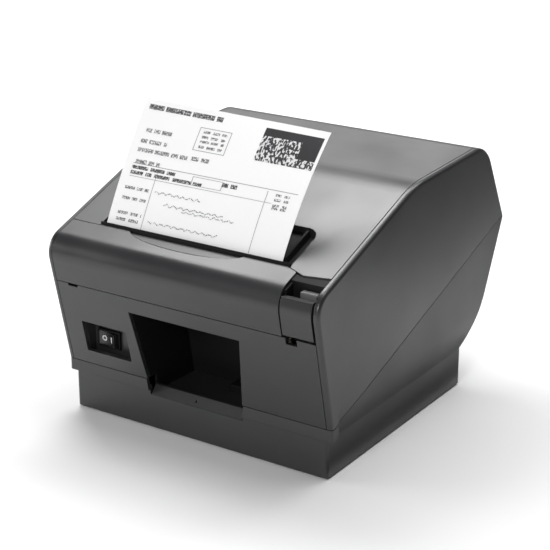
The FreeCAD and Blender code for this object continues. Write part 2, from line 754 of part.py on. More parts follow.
# ---------------------------------------------------------------- lever, well, feed button
def lever_well():
    """The liner of the finger well behind the lever, open at the front, with a rear ledge."""
    sunk, ledge_sunk = 1.6, 0.7
    base = WELL_FLOOR_Z - WELL_WALL
    outside = prism_x([(WELL_Y0, base), (WELL_Y0, slope_z(WELL_Y0) - sunk),
                       (WELL_LEDGE_Y, slope_z(WELL_LEDGE_Y) - sunk),
                       (WELL_LEDGE_Y, slope_z(WELL_LEDGE_Y) - ledge_sunk),
                       (WELL_Y1, slope_z(WELL_Y1) - ledge_sunk), (WELL_Y1, base)],
                      WELL_X0, WELL_X1)
    space = prism_x([(-FAR, WELL_FLOOR_Z), (-FAR, FAR), (WELL_LEDGE_Y, FAR),
                     (WELL_LEDGE_Y, WELL_FLOOR_Z)], WELL_X0 + WELL_WALL, WELL_X1 - WELL_WALL)
    pivot_y, pivot_z = LEVER_PIVOT
    ears = []
    for x0 in (WELL_X0, WELL_X1 - WELL_WALL):
        ears.append(cyl_x(pivot_y, pivot_z, 2.0, x0, x0 + WELL_WALL))
        ears.append(box(x0, x0 + WELL_WALL, pivot_y - 1.8, pivot_y + 4.0, pivot_z, WELL_FLOOR_Z + 1))
    pin_hole = cyl_x(pivot_y, pivot_z, LEVER_PIN_R, WELL_X0 - 1, WELL_X1 + 1)
    front, back = WELL_Y1 - 0.1, CORNER_END_Y + 0.5
    shelf = prism_x([(front, slope_z(front) - ledge_sunk - 1.5), (front, slope_z(front) - ledge_sunk),
                     (back, slope_z(back) - ledge_sunk), (back, slope_z(back) - ledge_sunk - 1.5)],
                    WELL_X0, WELL_X1)
    shelf = shelf.common(lid_corner([(WELL_X0, front), (WELL_X1, front), (WELL_X1, CORNER_END_Y - 0.35),
                                     (CORNER_X, CORNER_Y - 0.35), (WELL_X0, CORNER_Y + 0.75)]))
    return fused([outside, shelf] + ears).cut(group([space, pin_hole]))


def feed_button():
    """The sprung button block at the right of the well, on a guide stem."""
    y1 = WELL_LEDGE_Y - 0.4
    block = box(BUTTON_X0, BUTTON_X1, BUTTON_Y0, y1, WELL_FLOOR_Z + 5, BUTTON_TOP_Z)
    block = rounded(block, 0.5, lambda e: e.BoundBox.ZMin > BUTTON_TOP_Z - 0.1)
    stem = box(78.0, 81.0, -97.0, -95.4, WELL_FLOOR_Z + 2.2, WELL_FLOOR_Z + 6)
    return fused([block, stem])


def cover_open_lever(outer):
    """The lever: a plate that follows the front face and the nose up to its flat rim."""
    skin = outer.cut(offset_prism(WALL, HALF_W - WALL))
    zone = prism_x([(-FAR, LEVER_Z0), (-FAR, LEVER_TOP_Z), (-99.0, LEVER_TOP_Z),
                    (-92.0, LEVER_Z0)], LEVER_X0, LEVER_X1)
    plate = skin.common(zone)
    pivot_y, pivot_z = LEVER_PIVOT
    x0, x1 = LEVER_X0 + WELL_WALL + 0.2, LEVER_X1 - 0.5
    barrel = cyl_x(pivot_y, pivot_z, LEVER_BARREL_R, x0, x1)
    web_y0, web_y1 = front_y(LEVER_Z0) + 1.5, front_y(88.0) + 1.5
    web = prism_x([(web_y0, LEVER_Z0 + 0.4), (web_y1, 88.0),
                   (pivot_y, 88.0), (pivot_y, LEVER_Z0 + 0.4)], x0, x1)
    hole = cyl_x(pivot_y, pivot_z, LEVER_PIN_R + 0.05, LEVER_X0, LEVER_X1)
    return fused([plate, barrel, web]).cut(hole)


def lever_pin():
    """The lever's steel pivot pin, held at both ends by the ears of the well liner."""
    return cyl_x(*LEVER_PIVOT, LEVER_PIN_R, WELL_X0 + 0.1, WELL_X1 - 0.1)


# ---------------------------------------------------------------- gears
def gear_centres():
    platen = (PLATEN_Y, PLATEN_Z)
    idler = polar(*platen, MODULE * (PLATEN_TEETH + IDLER_TEETH) / 2, IDLER_ANGLE)
    pinion = polar(*idler, MODULE * (IDLER_TEETH + PINION_TEETH) / 2, PINION_ANGLE)
    return platen, idler, pinion


def spur_gear(centre, teeth, x0, x1, tooth_at, bore):
    """A spur gear about X with one tooth pointing in the direction tooth_at, in degrees."""
    pitch_r = MODULE * teeth / 2
    tip_r = pitch_r + 0.8 * MODULE
    root_r = pitch_r - 1.1 * MODULE
    pitch_angle = 360.0 / teeth
    points = []
    for i in range(teeth):
        middle = tooth_at + i * pitch_angle
        for share, radius in ((-0.3, root_r), (-0.11, tip_r), (0.11, tip_r), (0.3, root_r)):
            points.append(polar(*centre, radius, middle + share * pitch_angle))
    wheel = prism_x(points, x0, x1)
    return wheel.cut(cyl_x(*centre, bore, x0 - 1, x1 + 1))


def platen_gear():
    platen, _, _ = gear_centres()
    return spur_gear(platen, PLATEN_TEETH, GEAR_X0, GEAR_X0 + GEAR_T, IDLER_ANGLE, SHAFT_R)


def idler_gear():
    """Its gap faces the platen gear's tooth."""
    _, idler, _ = gear_centres()
    gap_side = IDLER_ANGLE + 180.0 + 180.0 / IDLER_TEETH
    gear = spur_gear(idler, IDLER_TEETH, GEAR_X0, GEAR_X0 + GEAR_T, gap_side, IDLER_POST_R + 0.05)
    holes = [cyl_x(*polar(*idler, 9.5, a), 2.6, 0, HALF_W) for a in range(0, 360, 60)]
    return gear.cut(group(holes))


def motor_pinion():
    """The motor's pinion and shaft. Its phase follows the idler's tooth that faces it."""
    _, idler, pinion = gear_centres()
    pitch_angle = 360.0 / IDLER_TEETH
    gap_side = IDLER_ANGLE + 180.0 + pitch_angle / 2
    offset = (PINION_ANGLE - gap_side) % pitch_angle
    tooth_at = PINION_ANGLE + 180.0 + (180.0 / PINION_TEETH) + offset * IDLER_TEETH / PINION_TEETH
    gear = spur_gear(pinion, PINION_TEETH, GEAR_X0, GEAR_X0 + GEAR_T, tooth_at, 0.9)
    shaft = cyl_x(*pinion, MOTOR_SHAFT_R, GEAR_X0 - 0.6, MOTOR_X1 - 5)
    return fused([gear, shaft])


# ---------------------------------------------------------------- mechanism
PLATE_OUTLINE = [
    (-70.0, 26.0), (56.0, 26.0), (62.0, 44.0), (76.0, 70.0), (84.0, 90.0, 4.0), (66.0, 101.0, 4.0),
    (-50.0, 101.0), (-60.0, 99.0), (-92.0, 99.0), (-92.0, 78.0), (-70.0, 66.0),
]


def chassis_frame():
    """The folded steel frame: two side plates, a floor between them and a front beam."""
    plates = []
    for x0 in (PLATE_LEFT - SHEET, PLATE_RIGHT):
        plates.append(prism_x(PLATE_OUTLINE, x0, x0 + SHEET))
    floor = box(PLATE_LEFT - 0.5, PLATE_RIGHT + 0.5, -44.0, 40.0, 26.0, 26.0 + SHEET)
    beam = box(PLATE_LEFT - 0.5, PLATE_RIGHT + 0.5, -92.0, -84.0, 79.0, 79.0 + SHEET)
    frame = fused(plates + [floor, beam])
    notch = lean(box(-HALF_W, HALF_W, -BUSH_R - 0.35, BUSH_R + 0.35, 0, 40), 8.0,
                 PLATEN_Y, PLATEN_Z)
    seat = cyl_x(PLATEN_Y, PLATEN_Z, BUSH_R + 0.35, -HALF_W, HALF_W)
    _, idler, pinion = gear_centres()
    post_hole = cyl_x(*idler, IDLER_POST_R, 50, HALF_W)
    shaft_hole = cyl_x(*pinion, MOTOR_SHAFT_R + 1.0, 50, HALF_W)
    latch_hole = cyl_x(*LATCH_PIVOT, LATCH_R + 0.05, -HALF_W, HALF_W)
    standoffs = [cyl_x(*p, STANDOFF_R, 50, HALF_W) for p in standoff_places()]
    return frame.cut(group([notch, seat, post_hole, shaft_hole, latch_hole] + standoffs))


def idler_post():
    _, idler, _ = gear_centres()
    stem = cyl_x(*idler, IDLER_POST_R, PLATE_RIGHT - 1.5, GEAR_X0 + GEAR_T + 1.2)
    collar = cyl_x(*idler, 3.4, PLATE_RIGHT + SHEET, GEAR_X0 - 0.2)
    clip = cyl_x(*idler, 3.2, GEAR_X0 + GEAR_T + 0.2, GEAR_X0 + GEAR_T + 0.9)
    return fused([stem, collar, clip])


def standoff_places():
    """Three places round the motor where its bracket stands off from the side plate."""
    _, _, pinion = gear_centres()
    return [polar(*pinion, MOTOR_R + 4.0, angle) for angle in (-70.0, 20.0, 250.0)]


def motor_bracket():
    """The plate that carries the feed motor outside the gears, on three standoffs."""
    _, _, pinion = gear_centres()
    plate = cyl_x(*pinion, MOTOR_R + 6.5, BRACKET_X, BRACKET_X + 1.2)
    plate = plate.cut(cyl_x(*gear_centres()[1], 6.0, 0, HALF_W))
    posts = [cyl_x(*p, STANDOFF_R, PLATE_RIGHT + 0.1, BRACKET_X + 0.5) for p in standoff_places()]
    return fused([plate] + posts).cut(cyl_x(*pinion, 5.2, 0, HALF_W))


def feed_motor():
    """The stepper motor outside the gears, its boss seated in the bracket."""
    _, _, pinion = gear_centres()
    can = cyl_x(*pinion, MOTOR_R, BRACKET_X + 1.2, MOTOR_X1)
    can = rounded(can, 1.2, lambda e: e.BoundBox.XMin > MOTOR_X1 - 0.1)
    boss = cyl_x(*pinion, 5.2, BRACKET_X, BRACKET_X + 1.4)
    bore = cyl_x(*pinion, MOTOR_SHAFT_R + 0.05, 0, MOTOR_X1 - 4)
    return fused([can, boss]).cut(bore)


PLATEN_X0 = PAPER_X - PAPER_W / 2 - 0.5
PLATEN_X1 = PAPER_X + PAPER_W / 2 + 0.5


def platen_roller():
    """The rubber sleeve."""
    sleeve = cyl_x(PLATEN_Y, PLATEN_Z, PLATEN_R, PLATEN_X0, PLATEN_X1)
    return sleeve.cut(cyl_x(PLATEN_Y, PLATEN_Z, SHAFT_R, -HALF_W, HALF_W))


def platen_shaft():
    shaft = cyl_x(PLATEN_Y, PLATEN_Z, SHAFT_R, PLATE_LEFT - 3.0, GEAR_X0 + GEAR_T + 0.8)
    return rounded(shaft, 0.4, lambda e: isinstance(e.Curve, Part.Circle))


def bush_spans():
    return (PLATE_LEFT - 2.6, PLATE_LEFT + 2.4), (PLATE_RIGHT - 2.4, PLATE_RIGHT + 2.6)


def platen_bushes():
    bushes = []
    for x0, x1 in bush_spans():
        bush = cyl_x(PLATEN_Y, PLATEN_Z, BUSH_R, x0, x1)
        bushes.append(bush.cut(cyl_x(PLATEN_Y, PLATEN_Z, SHAFT_R + 0.05, x0 - 1, x1 + 1)))
    return group(bushes)


BRACKET_TOP_Z = 111.0


def platen_bracket():
    """The folded bracket under the lid that carries the platen by its bushes."""
    ears = []
    for x0 in (PLATE_LEFT + 1.0, PLATE_RIGHT - 2.2):
        ears.append(prism_x([(PLATEN_Y + 4.0, PLATEN_Z - 6.0, 3.0),
                             (PLATEN_Y - 5.6, PLATEN_Z - 4.0, 3.0),
                             (PLATEN_Y - 4.0, BRACKET_TOP_Z), (PLATEN_Y + 22.0, BRACKET_TOP_Z),
                             (PLATEN_Y + 22.0, PLATEN_Z + 10.0)], x0, x0 + 1.2))
    web = box(PLATE_LEFT + 1.0, PLATE_RIGHT - 1.0, PLATEN_Y - 2.0, PLATEN_Y + 22.0,
              BRACKET_TOP_Z - 1.2, BRACKET_TOP_Z)
    holes = cyl_x(PLATEN_Y, PLATEN_Z, BUSH_R, -HALF_W, HALF_W)
    return fused(ears + [web]).cut(holes)


def fixed_blade():
    """The cutter's fixed blade, behind the paper and just above the moving blade."""
    low, mid, high = CUT_Z + 0.45, CUT_Z + 2.8, CUT_Z + 4.0
    return prism_x([(-82.2, low), (-81.4, CUT_Z + 2.0), (-79.0, high), (-66.0, high),
                    (-66.0, mid), (-77.0, mid), (-79.5, low)], PLATEN_X0, PLATEN_X1)


def head_frame_point(along_face, out):
    """A point on the head's leaning plane: along it from the nip, and out from the platen."""
    lean_angle = 180.0 + math.degrees(math.atan2(HINGE_Z - PLATEN_Z, HINGE_Y - PLATEN_Y))
    nip = polar(PLATEN_Y, PLATEN_Z, PLATEN_R + out, lean_angle)
    return polar(*nip, along_face, lean_angle - 90.0)


HEAD_GAP = 0.8           # from the platen's rubber to the head, with the paper in it
HEAD_X0 = PAPER_X - PAPER_W / 2 - 1.0
HEAD_X1 = PAPER_X + PAPER_W / 2 + 1.0


def head_block(u0, u1, out0, out1, x0, x1):
    """A block lined up with the head's plane, from u0 to u1 along it, out0 to out1 off it."""
    corners = [head_frame_point(u0, out0), head_frame_point(u1, out0),
               head_frame_point(u1, out1), head_frame_point(u0, out1)]
    return prism_x(corners, x0, x1)


def thermal_head():
    """The ceramic strip with its raised heater line, and the driver cover below it."""
    strip = head_block(-9.0, 6.0, HEAD_GAP + 0.3, HEAD_GAP + 1.5, HEAD_X0, HEAD_X1)
    nip = head_frame_point(0.0, HEAD_GAP + 0.75)
    heater = cyl_x(*nip, 0.7, HEAD_X0 + 3, HEAD_X1 - 3)
    return fused([strip, heater])


def head_heatsink():
    """The aluminium block behind the head, with fins along its front."""
    block = head_block(-10.0, 6.5, HEAD_GAP + 1.5, HEAD_GAP + 4.5, HEAD_X0 + 0.5, HEAD_X1 - 0.5)
    fins = []
    for i in range(4):
        u = -9.0 + i * 4.6
        fins.append(head_block(u, u + 1.4, HEAD_GAP + 4.4, HEAD_GAP + 7.5, HEAD_X0 + 8, HEAD_X1 - 8))
    return fused([block] + fins)


SPRING_X = (PAPER_X - 38.0, PAPER_X + 38.0)


def coil_spring(start, end, radius, wire, turns):
    """A coil between two points, as a plain thin tube cut by a groove per turn."""
    run = end - start
    tube = Part.makeCylinder(radius, run.Length, start, run)
    core = Part.makeCylinder(radius - wire, run.Length, start, run)
    tube = tube.cut(core)
    unit = V(run).normalize()
    pitch = run.Length / turns
    grooves = []
    for i in range(turns):
        at = start + unit * (pitch * (i + 0.3))
        ring = Part.makeCylinder(radius + 1, pitch * 0.4, at, unit)
        ring = ring.cut(Part.makeCylinder(radius - wire / 2, pitch * 0.4, at, unit))
        grooves.append(ring)
    return tube.cut(group(grooves))


def head_springs():
    """Two springs between the heat sink and the front beam's upright."""
    springs = []
    for x in SPRING_X:
        y0, z0 = head_frame_point(-6.5, HEAD_GAP + 7.6)
        y1, z1 = head_frame_point(-6.5, HEAD_GAP + 11.4)
        springs.append(coil_spring(V(x, y0, z0), V(x, y1, z1), 2.4, 0.7, 4))
    return group(springs)


def head_backplate():
    """The steel plate in front of the springs, standing on the chassis beam."""
    plate = head_block(-11.5, 4.0, HEAD_GAP + 11.5, HEAD_GAP + 12.5, HEAD_X0, HEAD_X1)
    return plate.common(inner_body(0.3))


CUTTER_X0 = PLATE_LEFT + 2.0
CUTTER_X1 = PLATE_RIGHT - 1.0


def cutter_frame():
    """The cutter's bottom plate with guide cheeks, and its front wall."""
    bottom = box(CUTTER_X0, CUTTER_X1, -99.0, -85.2, CUT_Z - 3.2, CUT_Z - 0.5)
    bottom = bottom.cut(box(CUTTER_X0 + 10, CUTTER_X1 - 10, -93.0, -88.0, 90, CUT_Z))
    cheeks = [box(x, x + 3.0, -99.0, -87.2, CUT_Z - 1.0, CUT_Z + 2.2)
              for x in (CUTTER_X0, CUTTER_X1 - 3.0)]
    return fused([bottom] + cheeks)


BLADE_TIP_Y = -86.2
BLADE_T = 0.6


def cutter_blade():
    """The moving blade, with a shallow V-shaped edge and a rack tab at its middle."""
    x0, x1 = CUTTER_X0 + 3.3, CUTTER_X1 - 3.3
    middle = (x0 + x1) / 2
    outline = [(x0, -97.0), (x0, BLADE_TIP_Y), (middle, BLADE_TIP_Y - 1.6),
               (x1, BLADE_TIP_Y), (x1, -97.0)]
    blade = polygon_prism([(x, y, CUT_Z - BLADE_T / 2) for x, y in outline], (0, 0, BLADE_T))
    stiffener = box(x0 + 4, x1 - 4, -97.0, -94.5, CUT_Z - 0.1, CUT_Z + 1.6)
    return fused([blade, stiffener])


def cutter_motor():
    """The cutter's small motor and its gearbox, under the cutter frame at the left."""
    y, z = -91.2, 67.2
    can = cyl_x(y, z, 3.9, PLATE_LEFT + 4, PLATE_LEFT + 24)
    gearbox = box(PLATE_LEFT + 24, PLATE_LEFT + 29, y - 3.6, y + 4.2, z - 3.9, z + 4.6)
    return fused([can, gearbox])


HOOK_X = (
    (PLATE_LEFT - SHEET - 1.9, PLATE_LEFT - SHEET - 0.4),
    (PLATE_RIGHT + SHEET + 0.2, PLATE_RIGHT + SHEET + 1.5),
)


def latch_bar():
    """The latch shaft with a hook at each end that reaches over the platen's bush."""
    shaft = cyl_x(*LATCH_PIVOT, LATCH_R, HOOK_X[0][0] - 1.0, HOOK_X[1][1] + 0.3)
    y, z = LATCH_PIVOT
    hooks = []
    for x0, x1 in HOOK_X:
        hooks.append(prism_x([(y - 3.4, z - 3.0, 2.5), (y - 2.6, z + 12.0, 4.0),
                              (y - 1.2, z + 26.0, 1.5), (y + 3.0, z + 27.5, 0.8),
                              (y + 5.6, z + 23.6, 0.5), (y + 3.4, z + 21.0, 0.5),
                              (y + 3.2, z - 2.6, 2.0)], x0, x1))
    return fused([shaft] + hooks)


def paper_roll():
    roll = cyl_x(ROLL_Y, ROLL_Z, ROLL_R, PAPER_X - PAPER_W / 2, PAPER_X + PAPER_W / 2)
    return roll.cut(cyl_x(ROLL_Y, ROLL_Z, CORE_R, -HALF_W, HALF_W))


def roll_core():
    core = cyl_x(ROLL_Y, ROLL_Z, CORE_R, PAPER_X - PAPER_W / 2, PAPER_X + PAPER_W / 2)
    return core.cut(cyl_x(ROLL_Y, ROLL_Z, CORE_R - CORE_WALL, -HALF_W, HALF_W))


def web_tangents(extra):
    """Where the paper leaves the roll's underside and meets the platen's front, extra outside both."""
    roll_r = ROLL_R + 0.35 + extra
    platen_r = PLATEN_R + 0.35 + extra
    run_y, run_z = PLATEN_Y - ROLL_Y, PLATEN_Z - ROLL_Z
    length = math.hypot(run_y, run_z)
    heading = math.degrees(math.atan2(run_z, run_y))
    normal = heading + math.degrees(math.acos((roll_r - platen_r) / length))
    return polar(ROLL_Y, ROLL_Z, roll_r, normal), polar(PLATEN_Y, PLATEN_Z, platen_r, normal), normal


NIP_ANGLE = 180.0 + 6.0


def paper_web():
    """The paper from the roll's underside, round the platen's front, up to the cutting line."""
    edges = []
    for extra in (0.0, PAPER_T):
        roll_point, platen_point, normal = web_tangents(extra)
        radius = PLATEN_R + 0.35 + extra
        nip = polar(PLATEN_Y, PLATEN_Z, radius, NIP_ANGLE)
        mid = polar(PLATEN_Y, PLATEN_Z, radius, (normal % 360 + NIP_ANGLE) / 2)
        reach = (CUT_Z - 0.9 - nip[1]) / math.cos(math.radians(NIP_ANGLE - 180.0))
        end = polar(*nip, reach, NIP_ANGLE - 90.0)
        edges.append((roll_point, platen_point, mid, nip, end))
    near, far = edges
    wire = Part.Wire([
        Part.makeLine(V(0, *near[0]), V(0, *near[1])),
        Part.Arc(V(0, *near[1]), V(0, *near[2]), V(0, *near[3])).toShape(),
        Part.makeLine(V(0, *near[3]), V(0, *near[4])),
        Part.makeLine(V(0, *near[4]), V(0, *far[4])),
        Part.makeLine(V(0, *far[4]), V(0, *far[3])),
        Part.Arc(V(0, *far[3]), V(0, *far[2]), V(0, *far[1])).toShape(),
        Part.makeLine(V(0, *far[1]), V(0, *far[0])),
        Part.makeLine(V(0, *far[0]), V(0, *near[0])),
    ])
    face = Part.Face(wire)
    face.translate(V(PAPER_X - PAPER_W / 2, 0, 0))
    return face.extrude(V(PAPER_W, 0, 0))


RECEIPT_START = (-83.25, CUT_Z + 1.1)
RECEIPT_FIRST = 95.0     # heading at the slot, in degrees from straight back
RECEIPT_LEFT = (62.5, 53.0)
RECEIPT_RIGHT = (60.0, 42.0)
RECEIPT_STRAIGHT = 3.4
RECEIPT_BEND_R = 14.0
RECEIPT_LENGTH = 74.4


def receipt_line(side, headings):
    """Points and arc middles of one face of the receipt, side 0 or 1, along one edge."""
    shift = side * PAPER_T
    first = RECEIPT_FIRST
    second, third = headings
    start = polar(*RECEIPT_START, shift, first + 90.0)
    bend_at = polar(*start, RECEIPT_STRAIGHT, first)
    centre = polar(*bend_at, RECEIPT_BEND_R + shift, first - 90.0)
    bend_mid = polar(*centre, RECEIPT_BEND_R + shift, (first + second) / 2 + 90.0)
    bend_end = polar(*centre, RECEIPT_BEND_R + shift, second + 90.0)
    large = RECEIPT_LENGTH / math.radians(second - third) + shift
    wide_centre = polar(*bend_end, large, second - 90.0)
    wide_mid = polar(*wide_centre, large, (second + third) / 2 + 90.0)
    wide_end = polar(*wide_centre, large, third + 90.0)
    return start, bend_at, bend_mid, bend_end, wide_mid, wide_end


def receipt_edge(x, headings):
    """The slip's closed outline at one of its side edges."""
    near = [V(x, *p) for p in receipt_line(0, headings)]
    far = [V(x, *p) for p in receipt_line(1, headings)]
    return Part.Wire([
        Part.makeLine(near[0], near[1]),
        Part.Arc(near[1], near[2], near[3]).toShape(),
        Part.Arc(near[3], near[4], near[5]).toShape(),
        Part.makeLine(near[5], far[5]),
        Part.Arc(far[5], far[4], far[3]).toShape(),
        Part.Arc(far[3], far[2], far[1]).toShape(),
        Part.makeLine(far[1], far[0]),
        Part.makeLine(far[0], near[0]),
    ])


def receipt():
    """The printed slip, cut free of the web. Its right edge curls back further than its left."""
    left = receipt_edge(PAPER_X - PAPER_W / 2, RECEIPT_LEFT)
    right = receipt_edge(PAPER_X + PAPER_W / 2, RECEIPT_RIGHT)
    return Part.makeLoft([left, right], True, True)


CRADLE_GAP = 2.2
CRADLE_T = 1.5
CRADLE_REAR_ANGLE = 15.0


def roll_cradle():
    """The bucket under the roll: a round rear half, then a ramp under the paper to the front."""
    edges = []
    for extra in (CRADLE_GAP, CRADLE_GAP + CRADLE_T):
        roll_point, platen_point, normal = web_tangents(extra)
        radius = ROLL_R + 0.35 + extra
        rear = polar(ROLL_Y, ROLL_Z, radius, CRADLE_REAR_ANGLE)
        mid = polar(ROLL_Y, ROLL_Z, radius, (CRADLE_REAR_ANGLE + normal % 360 - 360) / 2)
        ramp_y = platen_point[0] + RAMP_SHORT
        share = (ramp_y - roll_point[0]) / (platen_point[0] - roll_point[0])
        ramp_end = (ramp_y, roll_point[1] + share * (platen_point[1] - roll_point[1]))
        edges.append((rear, mid, roll_point, ramp_end))
    near, far = edges
    wire = Part.Wire([
        Part.Arc(V(0, *near[0]), V(0, *near[1]), V(0, *near[2])).toShape(),
        Part.makeLine(V(0, *near[2]), V(0, *near[3])),
        Part.makeLine(V(0, *near[3]), V(0, *far[3])),
        Part.makeLine(V(0, *far[3]), V(0, *far[2])),
        Part.Arc(V(0, *far[2]), V(0, *far[1]), V(0, *far[0])).toShape(),
        Part.makeLine(V(0, *far[0]), V(0, *near[0])),
    ])
    face = Part.Face(wire)
    x0, x1 = PLATE_LEFT + 0.6, PLATE_RIGHT - 0.6
    face.translate(V(x0, 0, 0))
    return face.extrude(V(x1 - x0, 0, 0))


RAMP_SHORT = 9.0


def lid_inner_frame():
    """Ribs under the lid: two long beams and four cross ribs."""
    space = inner_body(0.05)
    base = BRACKET_TOP_Z + 0.05
    lower = prism_x([(-70, base), (-70, FAR), (84, FAR), (84, 128), (60, 132), (-8, 132),
                     (-44, base + 8), (-52, base)], -HALF_W, HALF_W)
    beams = [box(x - 1.2, x + 1.2, -69, 80, 90, FAR) for x in (-66, -24, 12, 54)]
    ribs = [box(-66, 54, y, y + 1.6, 90, FAR) for y in (-51.2, -24, 4, 32, 60)]
    tray = lid_tray_prism(1.7, TRAY_DEPTH + 1.7, -100)
    return fused(beams + ribs).common(space).common(lower).cut(tray)


# ---------------------------------------------------------------- electronics
def main_board():
    board = box(-76, 74, -44, 56, BOARD_Z, BOARD_Z + BOARD_T)
    notches = [cyl_z(x, y, BOSS_R + 0.5, 0, 40) for x, y in screw_places()]
    return board.cut(group(notches))


def board_parts():
    """Capacitors, chips and cable headers on the main board, as separate solids."""
    z = BOARD_Z + BOARD_T
    parts = [cyl_z(x, y, 4.0, z, z + 9.0) for x, y in ((-58, 26), (-48, 26), (-58, 14))]
    parts += [box(x, x + 14, y, y + 14, z, z + 1.4) for x, y in ((-20, 0), (12, -8))]
    parts += [box(x, x + 20, -40, -35, z, z + 5.0) for x in (-66, -36, 20, 46)]
    parts += [box(x, x + 6, 34, 42, z, z + 2.2) for x in (-10, 4, 18, 32)]
    return group(parts)


def power_inlet():
    """A round-shell DC inlet with its three contact holes."""
    x0, x1, z0, z1 = SOCKET_HOLES[0]
    body = box(x0 + 0.2, x1 - 0.2, PLINTH_Y1 - 16, PLINTH_Y1 - 0.3, z0 + 0.02, z1 - 0.2)
    xc, zc = (x0 + x1) / 2, (z0 + z1) / 2
    well = cyl_y(xc, zc, 5.0, PLINTH_Y1 - 9, PLINTH_Y1 + 1)
    post = cyl_y(xc, zc, 2.9, PLINTH_Y1 - 10, PLINTH_Y1 - 2.2)
    holes = [cyl_y(xc + dx, zc + dz, 0.7, PLINTH_Y1 - 8, PLINTH_Y1)
             for dx, dz in ((-1.3, 0.8), (1.3, 0.8), (0, -1.4))]
    return fused([body.cut(well), post]).cut(group(holes))


def drawer_socket():
    """A six-contact modular socket for the cash drawer's kick solenoid."""
    x0, x1, z0, z1 = SOCKET_HOLES[1]
    body = box(x0 + 0.2, x1 - 0.2, PLINTH_Y1 - 17, PLINTH_Y1 - 0.3, z0 + 0.02, z1 - 0.2)
    mouth = box(x0 + 2.4, x1 - 2.4, PLINTH_Y1 - 12, PLINTH_Y1 + 1, z0 + 1.6, z0 + 8.6)
    tab = box(x0 + 5.4, x1 - 5.4, PLINTH_Y1 - 10, PLINTH_Y1 + 1, z0 + 8.5, z0 + 10.6)
    contacts = [box(x0 + 4.0 + i * 1.25, x0 + 4.4 + i * 1.25, PLINTH_Y1 - 12.5, PLINTH_Y1 - 5,
                    z0 + 1.5, z0 + 2.4) for i in range(6)]
    return fused([body.cut(fused([mouth, tab]))] + contacts)


PLATE_SOCKET = (6.0, 18.4, SOCKET_Z0, SOCKET_Z0 + 11.0)
PLATE_SCREWS = ((-4.0, 15.4), (58.0, 15.4))


def interface_plate():
    """The steel cover of the interface card, with the data socket's window."""
    x0, x1, z0, z1 = SOCKET_HOLES[2]
    plate = box(x0 + 0.4, x1 - 0.4, PLINTH_Y1 - 1.9, PLINTH_Y1 - 0.9, z0 + 0.3, z1 - 0.3)
    sx0, sx1, sz0, sz1 = PLATE_SOCKET
    window = box(sx0 - 0.3, sx1 + 0.3, 0, FAR, sz0 - 0.3, sz1 + 0.3)
    holes = [cyl_y(x, z, 1.6, PLINTH_Y1 - 5, PLINTH_Y1) for x, z in PLATE_SCREWS]
    slots = [box(26 + i * 4.0, 27.6 + i * 4.0, 50, 70, 10.5, 20.5) for i in range(7)]
    return plate.cut(group([window] + holes + slots))


def interface_card():
    """The small plug-in card that carries the data socket."""
    z0 = PLATE_SOCKET[3] + 0.2
    return box(-2.0, 56.0, 30.0, PLINTH_Y1 - 2.6, z0, z0 + 1.0)


def data_socket():
    sx0, sx1, sz0, sz1 = PLATE_SOCKET
    body = box(sx0, sx1, PLINTH_Y1 - 17, PLINTH_Y1 - 0.4, sz0 + 0.02, sz1)
    mouth = polygon_prism(
        [(sx0 + 1.4, PLINTH_Y1 + 1, sz0 + 1.4), (sx1 - 1.4, PLINTH_Y1 + 1, sz0 + 1.4),
         (sx1 - 1.4, PLINTH_Y1 + 1, sz1 - 3.0), (sx1 - 3.0, PLINTH_Y1 + 1, sz1 - 1.4),
         (sx0 + 3.0, PLINTH_Y1 + 1, sz1 - 1.4), (sx0 + 1.4, PLINTH_Y1 + 1, sz1 - 3.0)],
        (0, -12, 0),
    )
    tongue = box(sx0 + 3.6, sx1 - 3.6, PLINTH_Y1 - 12, PLINTH_Y1 - 6.5, sz0 + 3.8, sz1 - 3.8)
    return fused([body.cut(mouth), tongue])


def machine_screw(x, y, z, radius, length, head_r, head_t, axis):
    """A pan-head screw with a cross slot. axis points from the tip to the head."""
    stem = Part.makeCylinder(radius, length, V(0, 0, -length), V(0, 0, 1))
    head = Part.makeCylinder(head_r, head_t, V(0, 0, 0), V(0, 0, 1))
    head = rounded(head, head_t * 0.45, lambda e: e.BoundBox.ZMin > head_t - 0.01)
    slot = group([box(-head_r * 0.6, head_r * 0.6, -0.3, 0.3, head_t * 0.45, head_t + 1),
                  box(-0.3, 0.3, -head_r * 0.6, head_r * 0.6, head_t * 0.45, head_t + 1)])
    screw = fused([stem, head]).cut(slot)
    screw.Placement = FreeCAD.Placement(V(x, y, z), FreeCAD.Rotation(V(0, 0, 1), V(*axis)))
    return screw


def plate_screws():
    return group([machine_screw(x, PLINTH_Y1 - 0.88, z, 1.5, 6, 2.8, 1.6, (0, 1, 0))
                  for x, z in PLATE_SCREWS])


def sensor(x, u, size):
    """A sensor block under the cradle's ramp, part way along the paper from the roll."""
    roll_point, platen_point, _ = web_tangents(CRADLE_GAP + CRADLE_T + 0.05)
    y = roll_point[0] + u * (platen_point[0] - roll_point[0])
    z = roll_point[1] + u * (platen_point[1] - roll_point[1])
    tilt = math.degrees(math.atan2(platen_point[1] - roll_point[1], roll_point[0] - platen_point[0]))
    block = box(-size / 2, size / 2, -size / 2, size / 2, -4.0, 0.0)
    return lean(block, -tilt, y, z, x)


def paper_end_sensor():
    return sensor(PAPER_X - 20.0, 0.82, 8.0)


def near_end_sensor():
    """The near-end sensor beside the roll, on the left side plate."""
    y, z = polar(ROLL_Y, ROLL_Z, 17.0, -60.0)
    return box(PLATE_LEFT - SHEET - 6.0, PLATE_LEFT - SHEET, y - 6, y + 6, z - 18, z - 8)


# ---------------------------------------------------------------- feet and base screws
def foot_places():
    return [(x, y) for x in (-FOOT_X, FOOT_X) for y in FOOT_Y]


def screw_places():
    return [(x, y) for x in (-78.0, 78.0) for y in (-58.0, 34.0)]


